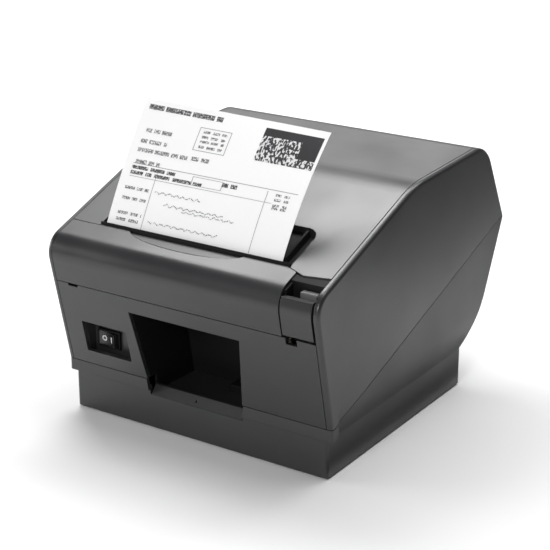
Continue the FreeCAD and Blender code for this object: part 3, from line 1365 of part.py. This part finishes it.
def rubber_feet():
    feet = []
    for x, y in foot_places():
        foot = cyl_z(x, y, FOOT_R, 0, PLINTH_Z0 + 0.8)
        feet.append(rounded(foot, 0.5, lambda e: e.BoundBox.ZMax < 0.1))
    return group(feet)


def base_screws():
    return group([machine_screw(x, y, SCREW_HEAD_Z - 0.02, SCREW_R, 14, SCREW_HEAD_R, 1.4, (0, 0, -1))
                  for x, y in screw_places()])


def hinge_pins():
    """Two steel pins, each from the case's ear into the lid's barrel."""
    pins = []
    for side in (-1, 1):
        x0, x1 = sorted((side * (BARREL_HALF - 16), side * (HALF_W - WALL + 0.2)))
        pins.append(cyl_x(HINGE_Y, HINGE_Z, HINGE_PIN_R, x0, x1))
    return group(pins)


# ---------------------------------------------------------------- write the pieces
def build():
    outer = outer_body()
    inner = inner_body()
    return {
        "lower_case": lower_case(outer, inner),
        "upper_case": upper_case(outer, inner),
        "front_panel": front_panel(outer, inner),
        "front_cover": front_cover(outer, inner),
        "tear_bar": tear_bar(),
        "printer_cover": printer_cover(outer, inner),
        "exit_guide": exit_guide(),
        "front_bay_liner": front_bay_liner(),
        "bay_floor": bay_floor(),
        "bay_block": bay_block(),
        "bay_sill": bay_sill(),
        "switch_recess": switch_recess(),
        "switch_housing": switch_housing(),
        "power_rocker": power_rocker(),
        "rocker_marks": rocker_marks(),
        "lever_well": lever_well(),
        "feed_button": feed_button(),
        "cover_open_lever": cover_open_lever(outer),
        "lever_pin": lever_pin(),
        "platen_gear": platen_gear(),
        "idler_gear": idler_gear(),
        "motor_pinion": motor_pinion(),
        "idler_post": idler_post(),
        "feed_motor": feed_motor(),
        "motor_bracket": motor_bracket(),
        "chassis_frame": chassis_frame(),
        "platen_roller": platen_roller(),
        "platen_shaft": platen_shaft(),
        "platen_bushes": platen_bushes(),
        "platen_bracket": platen_bracket(),
        "fixed_blade": fixed_blade(),
        "thermal_head": thermal_head(),
        "head_heatsink": head_heatsink(),
        "head_springs": head_springs(),
        "head_backplate": head_backplate(),
        "cutter_frame": cutter_frame(),
        "cutter_blade": cutter_blade(),
        "cutter_motor": cutter_motor(),
        "latch_bar": latch_bar(),
        "paper_roll": paper_roll(),
        "roll_core": roll_core(),
        "paper_web": paper_web(),
        "receipt": receipt(),
        "roll_cradle": roll_cradle(),
        "lid_inner_frame": lid_inner_frame(),
        "main_board": main_board(),
        "board_parts": board_parts(),
        "power_inlet": power_inlet(),
        "drawer_socket": drawer_socket(),
        "interface_plate": interface_plate(),
        "interface_card": interface_card(),
        "data_socket": data_socket(),
        "plate_screws": plate_screws(),
        "paper_end_sensor": paper_end_sensor(),
        "near_end_sensor": near_end_sensor(),
        "rubber_feet": rubber_feet(),
        "base_screws": base_screws(),
        "hinge_pins": hinge_pins(),
    }


os.makedirs("parts", exist_ok=True)
for name, shape in build().items():
    shape.exportStep(f"parts/{name}.step")
    state = "valid" if shape.isValid() else "NOT VALID"
    print(name, len(shape.Solids), state, round(shape.Volume / 1000, 2))
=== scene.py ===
"""Looks for the wide clamshell receipt printer: materials, head springs, printed slip, studio and camera.

Everything is in metres, in the CAD frame: X to the right, Y to the back, Z up.
"""

import json
import math
import random

import bpy
from mathutils import Matrix, Vector


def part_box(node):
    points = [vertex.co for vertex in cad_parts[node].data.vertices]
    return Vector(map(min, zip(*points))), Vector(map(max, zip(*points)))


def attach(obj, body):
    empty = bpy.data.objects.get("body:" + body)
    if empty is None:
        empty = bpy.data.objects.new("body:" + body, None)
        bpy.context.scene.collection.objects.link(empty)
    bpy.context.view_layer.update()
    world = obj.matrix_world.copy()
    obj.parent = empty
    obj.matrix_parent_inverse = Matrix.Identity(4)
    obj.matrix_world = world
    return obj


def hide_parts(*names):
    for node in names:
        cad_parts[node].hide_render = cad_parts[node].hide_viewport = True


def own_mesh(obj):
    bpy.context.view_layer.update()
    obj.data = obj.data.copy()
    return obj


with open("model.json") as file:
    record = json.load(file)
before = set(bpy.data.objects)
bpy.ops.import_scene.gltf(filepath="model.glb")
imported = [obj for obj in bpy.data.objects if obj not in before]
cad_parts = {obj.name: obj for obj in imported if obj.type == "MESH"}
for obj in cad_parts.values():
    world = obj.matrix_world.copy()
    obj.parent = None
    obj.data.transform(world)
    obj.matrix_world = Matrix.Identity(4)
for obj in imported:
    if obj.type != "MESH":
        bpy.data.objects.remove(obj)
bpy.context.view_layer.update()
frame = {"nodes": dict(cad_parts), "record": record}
MM = 0.001
EDGE_R = 0.4 * MM         # how round a moulded edge looks
METAL_EDGE_R = 0.2 * MM
RUBBER_EDGE_R = 0.3 * MM
LAYER_SINE = 9000.0       # how fine the roll's wound layers are


# ---------------------------------------------------------------- node helper
class Finish:
    """One material and short calls for its nodes. Coordinates are the object's own."""

    def __init__(self, name, color, roughness, metallic=0.0):
        self.material = bpy.data.materials.new(name)
        self.material.use_nodes = True
        self.tree = self.material.node_tree
        self.shader = self.tree.nodes["Principled BSDF"]
        self.shader.inputs["Metallic"].default_value = metallic
        self.place = self.tree.nodes.new("ShaderNodeTexCoord").outputs["Object"]
        self.color = (*color, 1.0)
        self.roughness = roughness
        self.shader.inputs["Base Color"].default_value = self.color
        self.shader.inputs["Roughness"].default_value = roughness

    def add(self, kind, **settings):
        node = self.tree.nodes.new(kind)
        for key, value in settings.items():
            setattr(node, key, value)
        return node

    def feed(self, socket, value):
        if isinstance(value, bpy.types.NodeSocket):
            self.tree.links.new(value, socket)
        else:
            socket.default_value = value

    def maths(self, operation, a, b=0.0):
        node = self.add("ShaderNodeMath", operation=operation)
        self.feed(node.inputs[0], a)
        self.feed(node.inputs[1], b)
        return node.outputs[0]

    def stretch(self, factors):
        node = self.add("ShaderNodeMapping")
        self.feed(node.inputs["Vector"], self.place)
        node.inputs["Scale"].default_value = factors
        return node.outputs[0]

    def noise(self, scale, detail=2.0, place=None):
        node = self.add("ShaderNodeTexNoise")
        self.feed(node.inputs["Vector"], place or self.place)
        node.inputs["Scale"].default_value = scale
        node.inputs["Detail"].default_value = detail
        return node.outputs["Fac"]

    def ramp(self, value, low, high, to_low=0.0, to_high=1.0):
        node = self.add("ShaderNodeMapRange")
        self.feed(node.inputs["Value"], value)
        for key, number in (("From Min", low), ("From Max", high), ("To Min", to_low), ("To Max", to_high)):
            node.inputs[key].default_value = number
        return node.outputs["Result"]

    def mix(self, share, a, b):
        node = self.add("ShaderNodeMix", data_type="RGBA")
        self.feed(node.inputs["Factor"], share)
        self.feed(node.inputs["A"], a)
        self.feed(node.inputs["B"], b)
        return node.outputs["Result"]

    def edges(self, radius):
        """1 along sharp outer edges, 0 on open faces; also sets the rounded normal."""
        soft = self.add("ShaderNodeBevel", samples=4)
        soft.inputs["Radius"].default_value = radius
        flat = self.add("ShaderNodeNewGeometry").outputs["Normal"]
        dot = self.add("ShaderNodeVectorMath", operation="DOT_PRODUCT")
        self.feed(dot.inputs[0], soft.outputs["Normal"])
        self.feed(dot.inputs[1], flat)
        self.soft_normal = soft.outputs["Normal"]
        return self.ramp(dot.outputs["Value"], 0.985, 0.80)

    def bump(self, height, strength, distance):
        node = self.add("ShaderNodeBump")
        self.feed(node.inputs["Height"], height)
        node.inputs["Strength"].default_value = strength
        node.inputs["Distance"].default_value = distance
        if hasattr(self, "soft_normal"):
            self.feed(node.inputs["Normal"], self.soft_normal)
        self.feed(self.shader.inputs["Normal"], node.outputs["Normal"])

    def finish(self, color=None, roughness=None):
        if color is not None:
            self.feed(self.shader.inputs["Base Color"], color)
        if roughness is not None:
            self.feed(self.shader.inputs["Roughness"], roughness)
        return self.material


def shade(color, factor):
    return (*[min(1.0, c * factor) for c in color[:3]], 1.0)


# ---------------------------------------------------------------- materials
def moulded(name, color, roughness, grain, wear=1.5, gloss=1.6):
    """Spark-eroded plastic: fine grain, faint mottling, handling smudges, lighter worn edges."""
    finish = Finish(name, color, roughness)
    finish.shader.inputs["IOR"].default_value = gloss
    worn = finish.edges(EDGE_R)
    chatter = finish.ramp(finish.noise(420.0, 4.0), 0.35, 0.65)
    worn = finish.maths("MULTIPLY", worn, chatter)
    mottle = finish.ramp(finish.noise(60.0, 4.0), 0.3, 0.7)
    body = finish.mix(mottle, shade(color, 0.93), shade(color, 1.07))
    body = finish.mix(finish.maths("MULTIPLY", worn, 0.5), body, shade(color, wear))
    smudge = finish.ramp(finish.noise(22.0, 3.0), 0.35, 0.7, roughness - 0.035, roughness + 0.045)
    smudge = finish.maths("SUBTRACT", smudge, finish.maths("MULTIPLY", worn, 0.08))
    finish.bump(finish.noise(2600.0, 2.0), grain, 0.00004)
    return finish.finish(body, smudge)


def rubber(name, color, grind):
    """Ground rubber: turning marks round X on the platen, plain grain on the feet."""
    finish = Finish(name, color, 0.62)
    finish.edges(RUBBER_EDGE_R)
    rings = finish.noise(1.0, 2.0, finish.stretch((grind, 260.0, 260.0)))
    dust = finish.ramp(finish.noise(150.0, 3.0), 0.45, 0.8)
    finish.bump(rings, 0.25, 0.00005)
    body = finish.mix(finish.maths("MULTIPLY", dust, 0.35), shade(color, 1.0), shade(color, 1.9))
    return finish.finish(body, finish.ramp(rings, 0.3, 0.7, 0.55, 0.7))


def metal(name, color, roughness, along, bump=0.15):
    """Sheet or turned metal with marks drawn out along one direction and a cloudy sheen."""
    finish = Finish(name, color, roughness, metallic=1.0)
    finish.edges(METAL_EDGE_R)
    marks = finish.noise(1.0, 3.0, finish.stretch(along))
    cloud = finish.noise(90.0, 3.0)
    finish.bump(marks, bump, 0.00002)
    body = finish.mix(cloud, shade(color, 0.82), shade(color, 1.1))
    rough = finish.ramp(marks, 0.3, 0.7, roughness - 0.06, roughness + 0.1)
    return finish.finish(body, rough)


def paper(name, color, roll_centre=None):
    """Thermal paper: smooth with faint fibres. A roll's ends show the wound edges."""
    finish = Finish(name, color, 0.55)
    fibre = finish.noise(1.0, 3.0, finish.stretch((900.0, 2600.0, 2600.0)))
    body = finish.mix(finish.ramp(fibre, 0.3, 0.7), shade(color, 0.985), shade(color, 1.0))
    if roll_centre is None:
        finish.bump(fibre, 0.05, 0.00002)
        return finish.finish(body)
    parts = finish.add("ShaderNodeSeparateXYZ")
    finish.feed(parts.inputs[0], finish.place)
    off_y = finish.maths("SUBTRACT", parts.outputs["Y"], roll_centre[0])
    off_z = finish.maths("SUBTRACT", parts.outputs["Z"], roll_centre[1])
    square_y = finish.maths("MULTIPLY", off_y, off_y)
    square_z = finish.maths("MULTIPLY", off_z, off_z)
    radius = finish.maths("SQRT", finish.maths("ADD", square_y, square_z))
    turns = finish.maths("SINE", finish.maths("MULTIPLY", radius, LAYER_SINE))
    finish.bump(turns, 0.2, 0.00004)
    body = finish.mix(finish.ramp(turns, -1.0, 1.0), shade(color, 0.9), body)
    return finish.finish(body)


def cardboard(name, color):
    """A spiral-wound card tube, drawn with coarse fibres only."""
    finish = Finish(name, color, 0.8)
    fibre = finish.noise(1.0, 4.0, finish.stretch((250.0, 1500.0, 1500.0)))
    finish.bump(fibre, 0.4, 0.00008)
    return finish.finish(finish.mix(fibre, shade(color, 0.75), shade(color, 1.15)))


def laminate(name, color):
    """Circuit board: solder resist over copper runs."""
    finish = Finish(name, color, 0.35)
    cells = finish.add("ShaderNodeTexBrick")
    finish.feed(cells.inputs["Vector"], finish.place)
    cells.inputs["Scale"].default_value = 120.0
    cells.inputs["Mortar Size"].default_value = 0.06
    cells.inputs["Color1"].default_value = shade(color, 0.9)
    cells.inputs["Color2"].default_value = shade(color, 1.1)
    cells.inputs["Mortar"].default_value = shade(color, 1.8)
    finish.bump(cells.outputs["Fac"], 0.2, 0.00003)
    return finish.finish(cells.outputs["Color"], finish.ramp(finish.noise(80.0), 0.3, 0.7, 0.3, 0.42))


def ceramic(name, color):
    """Glazed alumina: near white, faint speckle, glossy."""
    finish = Finish(name, color, 0.22)
    finish.edges(METAL_EDGE_R)
    speck = finish.ramp(finish.noise(900.0, 2.0), 0.55, 0.75)
    finish.bump(finish.noise(300.0, 2.0), 0.05, 0.00002)
    return finish.finish(finish.mix(speck, shade(color, 1.0), shade(color, 0.88)),
                         finish.ramp(speck, 0.0, 1.0, 0.2, 0.3))


def print_ink(name, color, blank, low, high, letter=(2100.0, 900.0, 1300.0)):
    """Thermal print: letter-sized breaks in a dark bar, so that it reads as small type."""
    finish = Finish(name, color, 0.5)
    letters = finish.noise(1.0, 1.0, finish.stretch(letter))
    return finish.finish(finish.mix(finish.ramp(letters, low, high), blank, shade(color, 1.0)),
                         finish.ramp(letters, 0.3, 0.7, 0.45, 0.58))


CHARCOAL = (0.022, 0.0225, 0.0235)
BASE_GREY = (0.020, 0.0205, 0.0215)
PAPER_WHITE = (0.93, 0.93, 0.925)
roll_low, roll_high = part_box("paper_roll")
ROLL_CENTRE = ((roll_low.y + roll_high.y) / 2, (roll_low.z + roll_high.z) / 2)

FINISHES = {
    "case_plastic": moulded("case_plastic", CHARCOAL, 0.34, 0.20),
    "base_plastic": moulded("base_plastic", BASE_GREY, 0.40, 0.24),
    "black_plastic": moulded("black_plastic", (0.006, 0.006, 0.0065), 0.6, 0.3, gloss=1.3),
    "grey_plastic": moulded("grey_plastic", (0.12, 0.12, 0.122), 0.4, 0.15),
    "switch_plastic": moulded("switch_plastic", (0.012, 0.012, 0.013), 0.24, 0.05),
    "mark_plastic": moulded("mark_plastic", (0.62, 0.62, 0.62), 0.45, 0.05, wear=1.1),
    "button_plastic": moulded("button_plastic", (0.15, 0.15, 0.152), 0.4, 0.15),
    "acetal": moulded("acetal", (0.72, 0.70, 0.64), 0.4, 0.08, wear=1.1),
    "frame_steel": metal("frame_steel", (0.60, 0.61, 0.62), 0.36, (60.0, 1800.0, 1800.0)),
    "bright_steel": metal("bright_steel", (0.70, 0.70, 0.71), 0.22, (2400.0, 120.0, 120.0)),
    "motor_steel": metal("motor_steel", (0.50, 0.50, 0.51), 0.3, (1500.0, 90.0, 90.0)),
    "head_aluminium": metal("head_aluminium", (0.74, 0.75, 0.77), 0.34, (50.0, 1500.0, 1500.0)),
    "head_ceramic": ceramic("head_ceramic", (0.80, 0.78, 0.70)),
    "platen_rubber": rubber("platen_rubber", (0.022, 0.022, 0.023), 5200.0),
    "foot_rubber": rubber("foot_rubber", (0.014, 0.014, 0.014), 900.0),
    "receipt_paper": paper("receipt_paper", PAPER_WHITE),
    "roll_paper": paper("roll_paper", (0.90, 0.90, 0.885), ROLL_CENTRE),
    "core_card": cardboard("core_card", (0.42, 0.30, 0.18)),
    "board_laminate": laminate("board_laminate", (0.015, 0.10, 0.04)),
    "board_components": moulded("board_components", (0.02, 0.02, 0.02), 0.35, 0.1),
}


def dress_nodes():
    """Every CAD node wears the finish of its material slot."""
    for part in frame["record"]["subparts"]:
        node = frame["nodes"][part["node"]]
        node.data.materials.clear()
        node.data.materials.append(FINISHES[part["material_slot"]])


def soft_springs():
    """The head's two coil springs, as a plain copy hung on the case; the fixed plate stands in front of
    them.
    """
    node = frame["nodes"]["head_springs"]
    coils = bpy.data.objects.new("head_coils", node.data.copy())
    coils.matrix_world = node.matrix_world
    bpy.context.scene.collection.objects.link(coils)
    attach(coils, "case")
    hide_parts("head_springs")
    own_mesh(coils)


# ---------------------------------------------------------------- the printed slip
slip_low, slip_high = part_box("receipt")
SLOT_Z = 0.1163          # the slope's height at the paper slot
INK_LIFT = 0.05 * MM
INK_T = 0.03 * MM
TILE = 0.04              # longest side of one printed tile, as a share of the form
BLOCK_FACES = ((0, 1, 5, 4), (1, 2, 6, 5), (2, 3, 7, 6), (3, 0, 4, 7), (3, 2, 1, 0), (4, 5, 6, 7))


def slip_edge(x):
    """The front face's (y, z) points along the slip's edge at x, from its top down to the slot."""
    mesh = frame["nodes"]["receipt"].data
    rows = {}
    for face in mesh.polygons:
        if face.normal.y > -0.2 or abs(face.normal.x) > 0.5:
            continue
        for i in face.vertices:
            corner = mesh.vertices[i].co
            if abs(corner.x - x) < 0.1 * MM and corner.z > SLOT_Z - 2 * MM:
                rows[round(corner.z, 5)] = corner.y
    return [Vector((x, y, z)) for z, y in sorted(rows.items(), reverse=True)]


SLIP_LEFT = slip_edge(slip_low.x)
SLIP_RIGHT = slip_edge(slip_high.x)
SLIP_LENGTH = sum((b - a).length for a, b in zip(SLIP_LEFT, SLIP_LEFT[1:]))
FORM_LENGTH = 78.3 * MM  # from v = 0 to the slot


def along(edge, distance):
    """The point a distance down one edge, measured from the slip's top."""
    for a, b in zip(edge, edge[1:]):
        step = (b - a).length
        if distance <= step:
            return a.lerp(b, distance / step)
        distance -= step
    return edge[-1]


def slip_point(u, v, lift):
    """The place of (u, v) on the slip: u from left to right, v down the form, 1 at the slot."""
    slip = frame["nodes"]["receipt"]
    distance = SLIP_LENGTH - (1.0 - v) * FORM_LENGTH
    place = along(SLIP_LEFT, distance).lerp(along(SLIP_RIGHT, distance), u)
    in_front = place + Vector((0.0, -1.0, 0.5)) * MM
    _, on_face, normal, _ = slip.closest_point_on_mesh(in_front)
    return on_face + normal * lift


def tiles(start, end):
    """Equal spans of at most TILE from start to end."""
    count = max(1, math.ceil((end - start) / TILE))
    marks = [start + (end - start) * i / count for i in range(count + 1)]
    return list(zip(marks, marks[1:]))


class Ink:
    """Collects thin printed bars and turns them into one piece."""

    def __init__(self):
        self.points = []
        self.faces = []

    def bar(self, u0, u1, v0, v1, lift=INK_LIFT):
        """One closed bar, cut into short tiles, so that it follows the slip's curl and twist."""
        for left, right in tiles(u0, u1):
            for top, low in tiles(v0, v1):
                first = len(self.points)
                for depth in (lift, lift + INK_T):
                    self.points += [slip_point(u, v, depth)
                                    for u, v in ((left, top), (right, top), (right, low), (left, low))]
                self.faces += [tuple(first + k for k in face) for face in BLOCK_FACES]

    def piece(self, name, material):
        mesh = bpy.data.meshes.new(name)
        mesh.from_pydata(self.points, [], self.faces)
        mesh.validate()
        mesh.materials.append(material)
        piece = bpy.data.objects.new(name, mesh)
        bpy.context.scene.collection.objects.link(piece)
        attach(piece, "lid")
        return piece


def words(ink, u0, u1, v, height, draw, longest=0.09):
    """A line of word-length bars with gaps between them."""
    u = u0
    while u < u1:
        end = min(u1, u + draw.uniform(0.03, longest))
        ink.bar(u, end, v - height / 2, v + height / 2)
        u = end + draw.uniform(0.010, 0.018)


def wavy(ink, u0, u1, v, draw):
    """A line of writing: short steps that wander up and down."""
    step, half_high, rise, waves = 0.0075, 0.004, 0.006, 160.0
    u = u0
    while u < u1:
        middle = v + rise * math.sin(u * waves) + draw.uniform(-half_high, half_high)
        ink.bar(u, u + 0.8 * step, middle - half_high, middle + half_high)
        u += step


def outline(ink, u0, u1, v0, v1, line, inset):
    """A thin rectangle. Its upright sides stop short of its top and bottom by the inset."""
    ink.bar(u0, u1, v0, v0 + line)
    ink.bar(u0, u1, v1 - line, v1)
    ink.bar(u0, u0 + RULE_W, v0 + inset, v1 - inset)
    ink.bar(u1 - RULE_W, u1, v0 + inset, v1 - inset)


# The form's layout: u runs from the slip's left edge to its right one, v down the form to the slot.
RULE_W = 0.003
TITLE = (0.03, 0.445, 0.080, 0.038)
ADDRESS_LINES = ((0.06, 0.22, 0.26), (0.05, 0.20, 0.345), (0.05, 0.335, 0.412), (0.357, 0.455, 0.406),
                 (0.06, 0.20, 0.50))
NUMBER_BOX = (0.345, 0.52, 0.163, 0.342)
NUMBER_LINES = (0.195, 0.235, 0.27, 0.31)
HEADING_LINES = ((0.545, 0.30), (0.585, 0.46))
HEADING_BOX = (0.40, 0.57, 0.532, 0.598)
TABLE_RULES = ((0.05, 0.97, 0.515, 0.519), (0.05, 0.85, 0.612, 0.615))
TABLE_COLUMNS = (0.20, 0.813)
PRICE_LINES = (0.55, 0.585, 0.625, 0.645)
LABEL_LINES = (0.70, 0.777, 0.887, 0.935)
WRITTEN_LINES = ((0.22, 0.48, 0.70), (0.29, 0.62, 0.777), (0.40, 0.69, 0.80), (0.23, 0.62, 0.92))
PICTURE_DARK = ((0.68, 0.985, 0.072, 0.135), (0.89, 0.985, 0.135, 0.265))
PICTURE_MOTTLED = ((0.68, 0.89, 0.135, 0.265), (0.68, 0.985, 0.265, 0.330))


def print_form(heavy, light, rules):
    """A made-up order form: title, address lines, a boxed number and a table. Nothing on it can be read."""
    draw = random.Random(7)
    words(heavy, *TITLE, draw, 0.2)
    for u0, u1, v in ADDRESS_LINES:
        words(light, u0, u1, v, 0.030, draw)
    for v in NUMBER_LINES:
        words(light, 0.37, 0.50, v, 0.020, draw, 0.05)
    outline(rules, *NUMBER_BOX, 0.004, 0.002)
    for v, end in HEADING_LINES:
        words(heavy, 0.05, end, v, 0.026, draw, 0.12)
    for rule in TABLE_RULES:
        rules.bar(*rule)
    outline(rules, *HEADING_BOX, RULE_W, 0.0)
    words(heavy, 0.57, 0.65, 0.552, 0.030, draw)
    for u in TABLE_COLUMNS:
        rules.bar(u, u + 0.0025, 0.53, 0.985)
    for v in PRICE_LINES:
        words(light, 0.86, 0.935, v, 0.018, draw, 0.04)
    for v in LABEL_LINES:
        words(light, 0.045, 0.185, v, 0.022, draw, 0.06)
    for u0, u1, v in WRITTEN_LINES:
        wavy(light, u0, u1, v, draw)


def print_slip():
    """The form and a picture block, each ink as one piece on the slip."""
    heavy, light, rules, picture, mottled = Ink(), Ink(), Ink(), Ink(), Ink()
    print_form(heavy, light, rules)
    for block in PICTURE_DARK:
        picture.bar(*block)
    for block in PICTURE_MOTTLED:
        mottled.bar(*block)
    blank = shade(PAPER_WHITE, 1.0)
    grey = (0.75, 0.75, 0.75, 1.0)
    coarse = (900.0, 400.0, 560.0)
    heavy.piece("print_heavy", print_ink("ink_heavy", (0.04, 0.04, 0.043), blank, 0.33, 0.46))
    light.piece("print_small", print_ink("ink_small", (0.14, 0.14, 0.145), blank, 0.38, 0.51))
    rules.piece("print_rules", print_ink("ink_rules", (0.25, 0.25, 0.26), blank, 0.1, 0.3))
    picture.piece("print_block", print_ink("ink_block", (0.022, 0.022, 0.024), blank, 0.05, 0.2))
    mottled.piece("print_picture", print_ink("ink_picture", (0.03, 0.03, 0.033), grey, 0.44, 0.52, coarse))


# ---------------------------------------------------------------- studio
CAMERA_AT = Vector((0.4791, -0.7330, 0.3957))
CAMERA_FORWARD = Vector((-0.5181, 0.7821, -0.3464))
CAMERA_RIGHT = Vector((0.8337, 0.5523, 0.0))
LENS = 103.35
FLOOR_HALF = 8.0
# Two dark cards that paint shade into the right side wall's reflections; the narrow one by the plinth is a
# painted contact shadow on the floor.
REFLECTION_SHADE_CARDS = ((0.21, 1.5, 0.19, 2.0), (0.092, 0.106, -0.12, 0.12))   # x0, x1, y0, y1

MIDDLE = (0.0, 0.0, 0.08)
LIGHTS = (  # name, place, target, width, height, watts
    ("rear_bank", (-0.53, 0.36, 1.10), MIDDLE, 0.6, 0.42, 8.0),
    ("left_bank", (-1.3, -0.6, 0.35), MIDDLE, 0.8, 0.5, 9.0),
    ("front_bank", (0.25, -1.35, 0.75), MIDDLE, 0.5, 0.4, 8.0),
    ("top_bank", (0.1, 0.1, 1.7), MIDDLE, 0.9, 0.9, 4.0),
    ("right_bank", (0.45, 0.1, 1.4), (0.35, 0.1, 0.0), 0.5, 0.5, 3.5),
    ("far_bank", (-1.3, 1.9, 1.0), (-0.8, 1.0, 0.0), 1.2, 0.6, 5.5),
    ("wall_bank", (0.2, 1.2, 1.6), (-0.4, 2.2, 0.0), 1.6, 0.8, 40.0),
)


def add_camera():
    data = bpy.data.cameras.new("camera")
    data.lens = LENS
    data.sensor_width = 36.0
    data.clip_start = 0.01
    camera = bpy.data.objects.new("camera", data)
    up = CAMERA_RIGHT.cross(CAMERA_FORWARD)
    turn = Matrix((CAMERA_RIGHT, up, -CAMERA_FORWARD)).transposed()
    camera.matrix_world = Matrix.Translation(CAMERA_AT) @ turn.to_4x4()
    bpy.context.scene.collection.objects.link(camera)
    bpy.context.scene.camera = camera


def softbox(name, at, target, width, height, power):
    data = bpy.data.lights.new(name, "AREA")
    data.shape = "RECTANGLE"
    data.size = width
    data.size_y = height
    data.energy = power
    light = bpy.data.objects.new(name, data)
    aim = Vector(target) - Vector(at)
    light.matrix_world = Matrix.Translation(at) @ aim.to_track_quat("-Z", "Y").to_matrix().to_4x4()
    bpy.context.scene.collection.objects.link(light)


def add_floor():
    mesh = bpy.data.meshes.new("floor")
    corners = [(x * FLOOR_HALF, y * FLOOR_HALF, 0) for x, y in ((-1, -1), (1, -1), (1, 1), (-1, 1))]
    mesh.from_pydata(corners, [], [(0, 1, 2, 3)])
    floor = bpy.data.objects.new("floor", mesh)
    finish = Finish("floor", (0.9, 0.9, 0.9), 0.6)
    finish.shader.inputs["Specular IOR Level"].default_value = 0.0
    tone = finish.ramp(finish.noise(3.0), 0.3, 0.7)
    mesh.materials.append(finish.finish(finish.mix(tone, (0.89, 0.89, 0.89, 1.0), (0.91, 0.91, 0.91, 1.0))))
    bpy.context.scene.collection.objects.link(floor)


def add_reflection_shade_cards():
    """Dark cards on the floor to the printer's right. Only reflections see them, on the side wall: they
    paint a darker reflection there, and the narrow card by the plinth stands in for the floor's contact
    shadow.
    """
    mesh = bpy.data.meshes.new("shade_cards")
    corners = []
    for x0, x1, y0, y1 in REFLECTION_SHADE_CARDS:
        corners += [(x0, y0, MM), (x1, y0, MM), (x1, y1, MM), (x0, y1, MM)]
    faces = [tuple(range(i, i + 4)) for i in range(0, len(corners), 4)]
    mesh.from_pydata(corners, [], faces)
    shade_cards = bpy.data.objects.new("shade_cards", mesh)
    mesh.materials.append(FINISHES["black_plastic"])
    # Hidden from the camera, diffuse light and shadow, so the cards only paint dark reflections onto the
    # side wall.
    shade_cards.visible_camera = False
    shade_cards.visible_diffuse = False
    shade_cards.visible_shadow = False
    bpy.context.scene.collection.objects.link(shade_cards)


def add_light():
    world = bpy.data.worlds.new("studio")
    world.use_nodes = True
    background = world.node_tree.nodes["Background"]
    background.inputs["Color"].default_value = (0.96, 0.97, 1.0, 1.0)
    background.inputs["Strength"].default_value = 0.11
    bpy.context.scene.world = world
    for light in LIGHTS:
        softbox(*light)
    bpy.context.scene.view_settings.view_transform = "Standard"


dress_nodes()
soft_springs()
print_slip()
add_floor()
# Painted shade: dark cards seen only in the side wall's reflections.
add_reflection_shade_cards()
add_camera()
add_light()
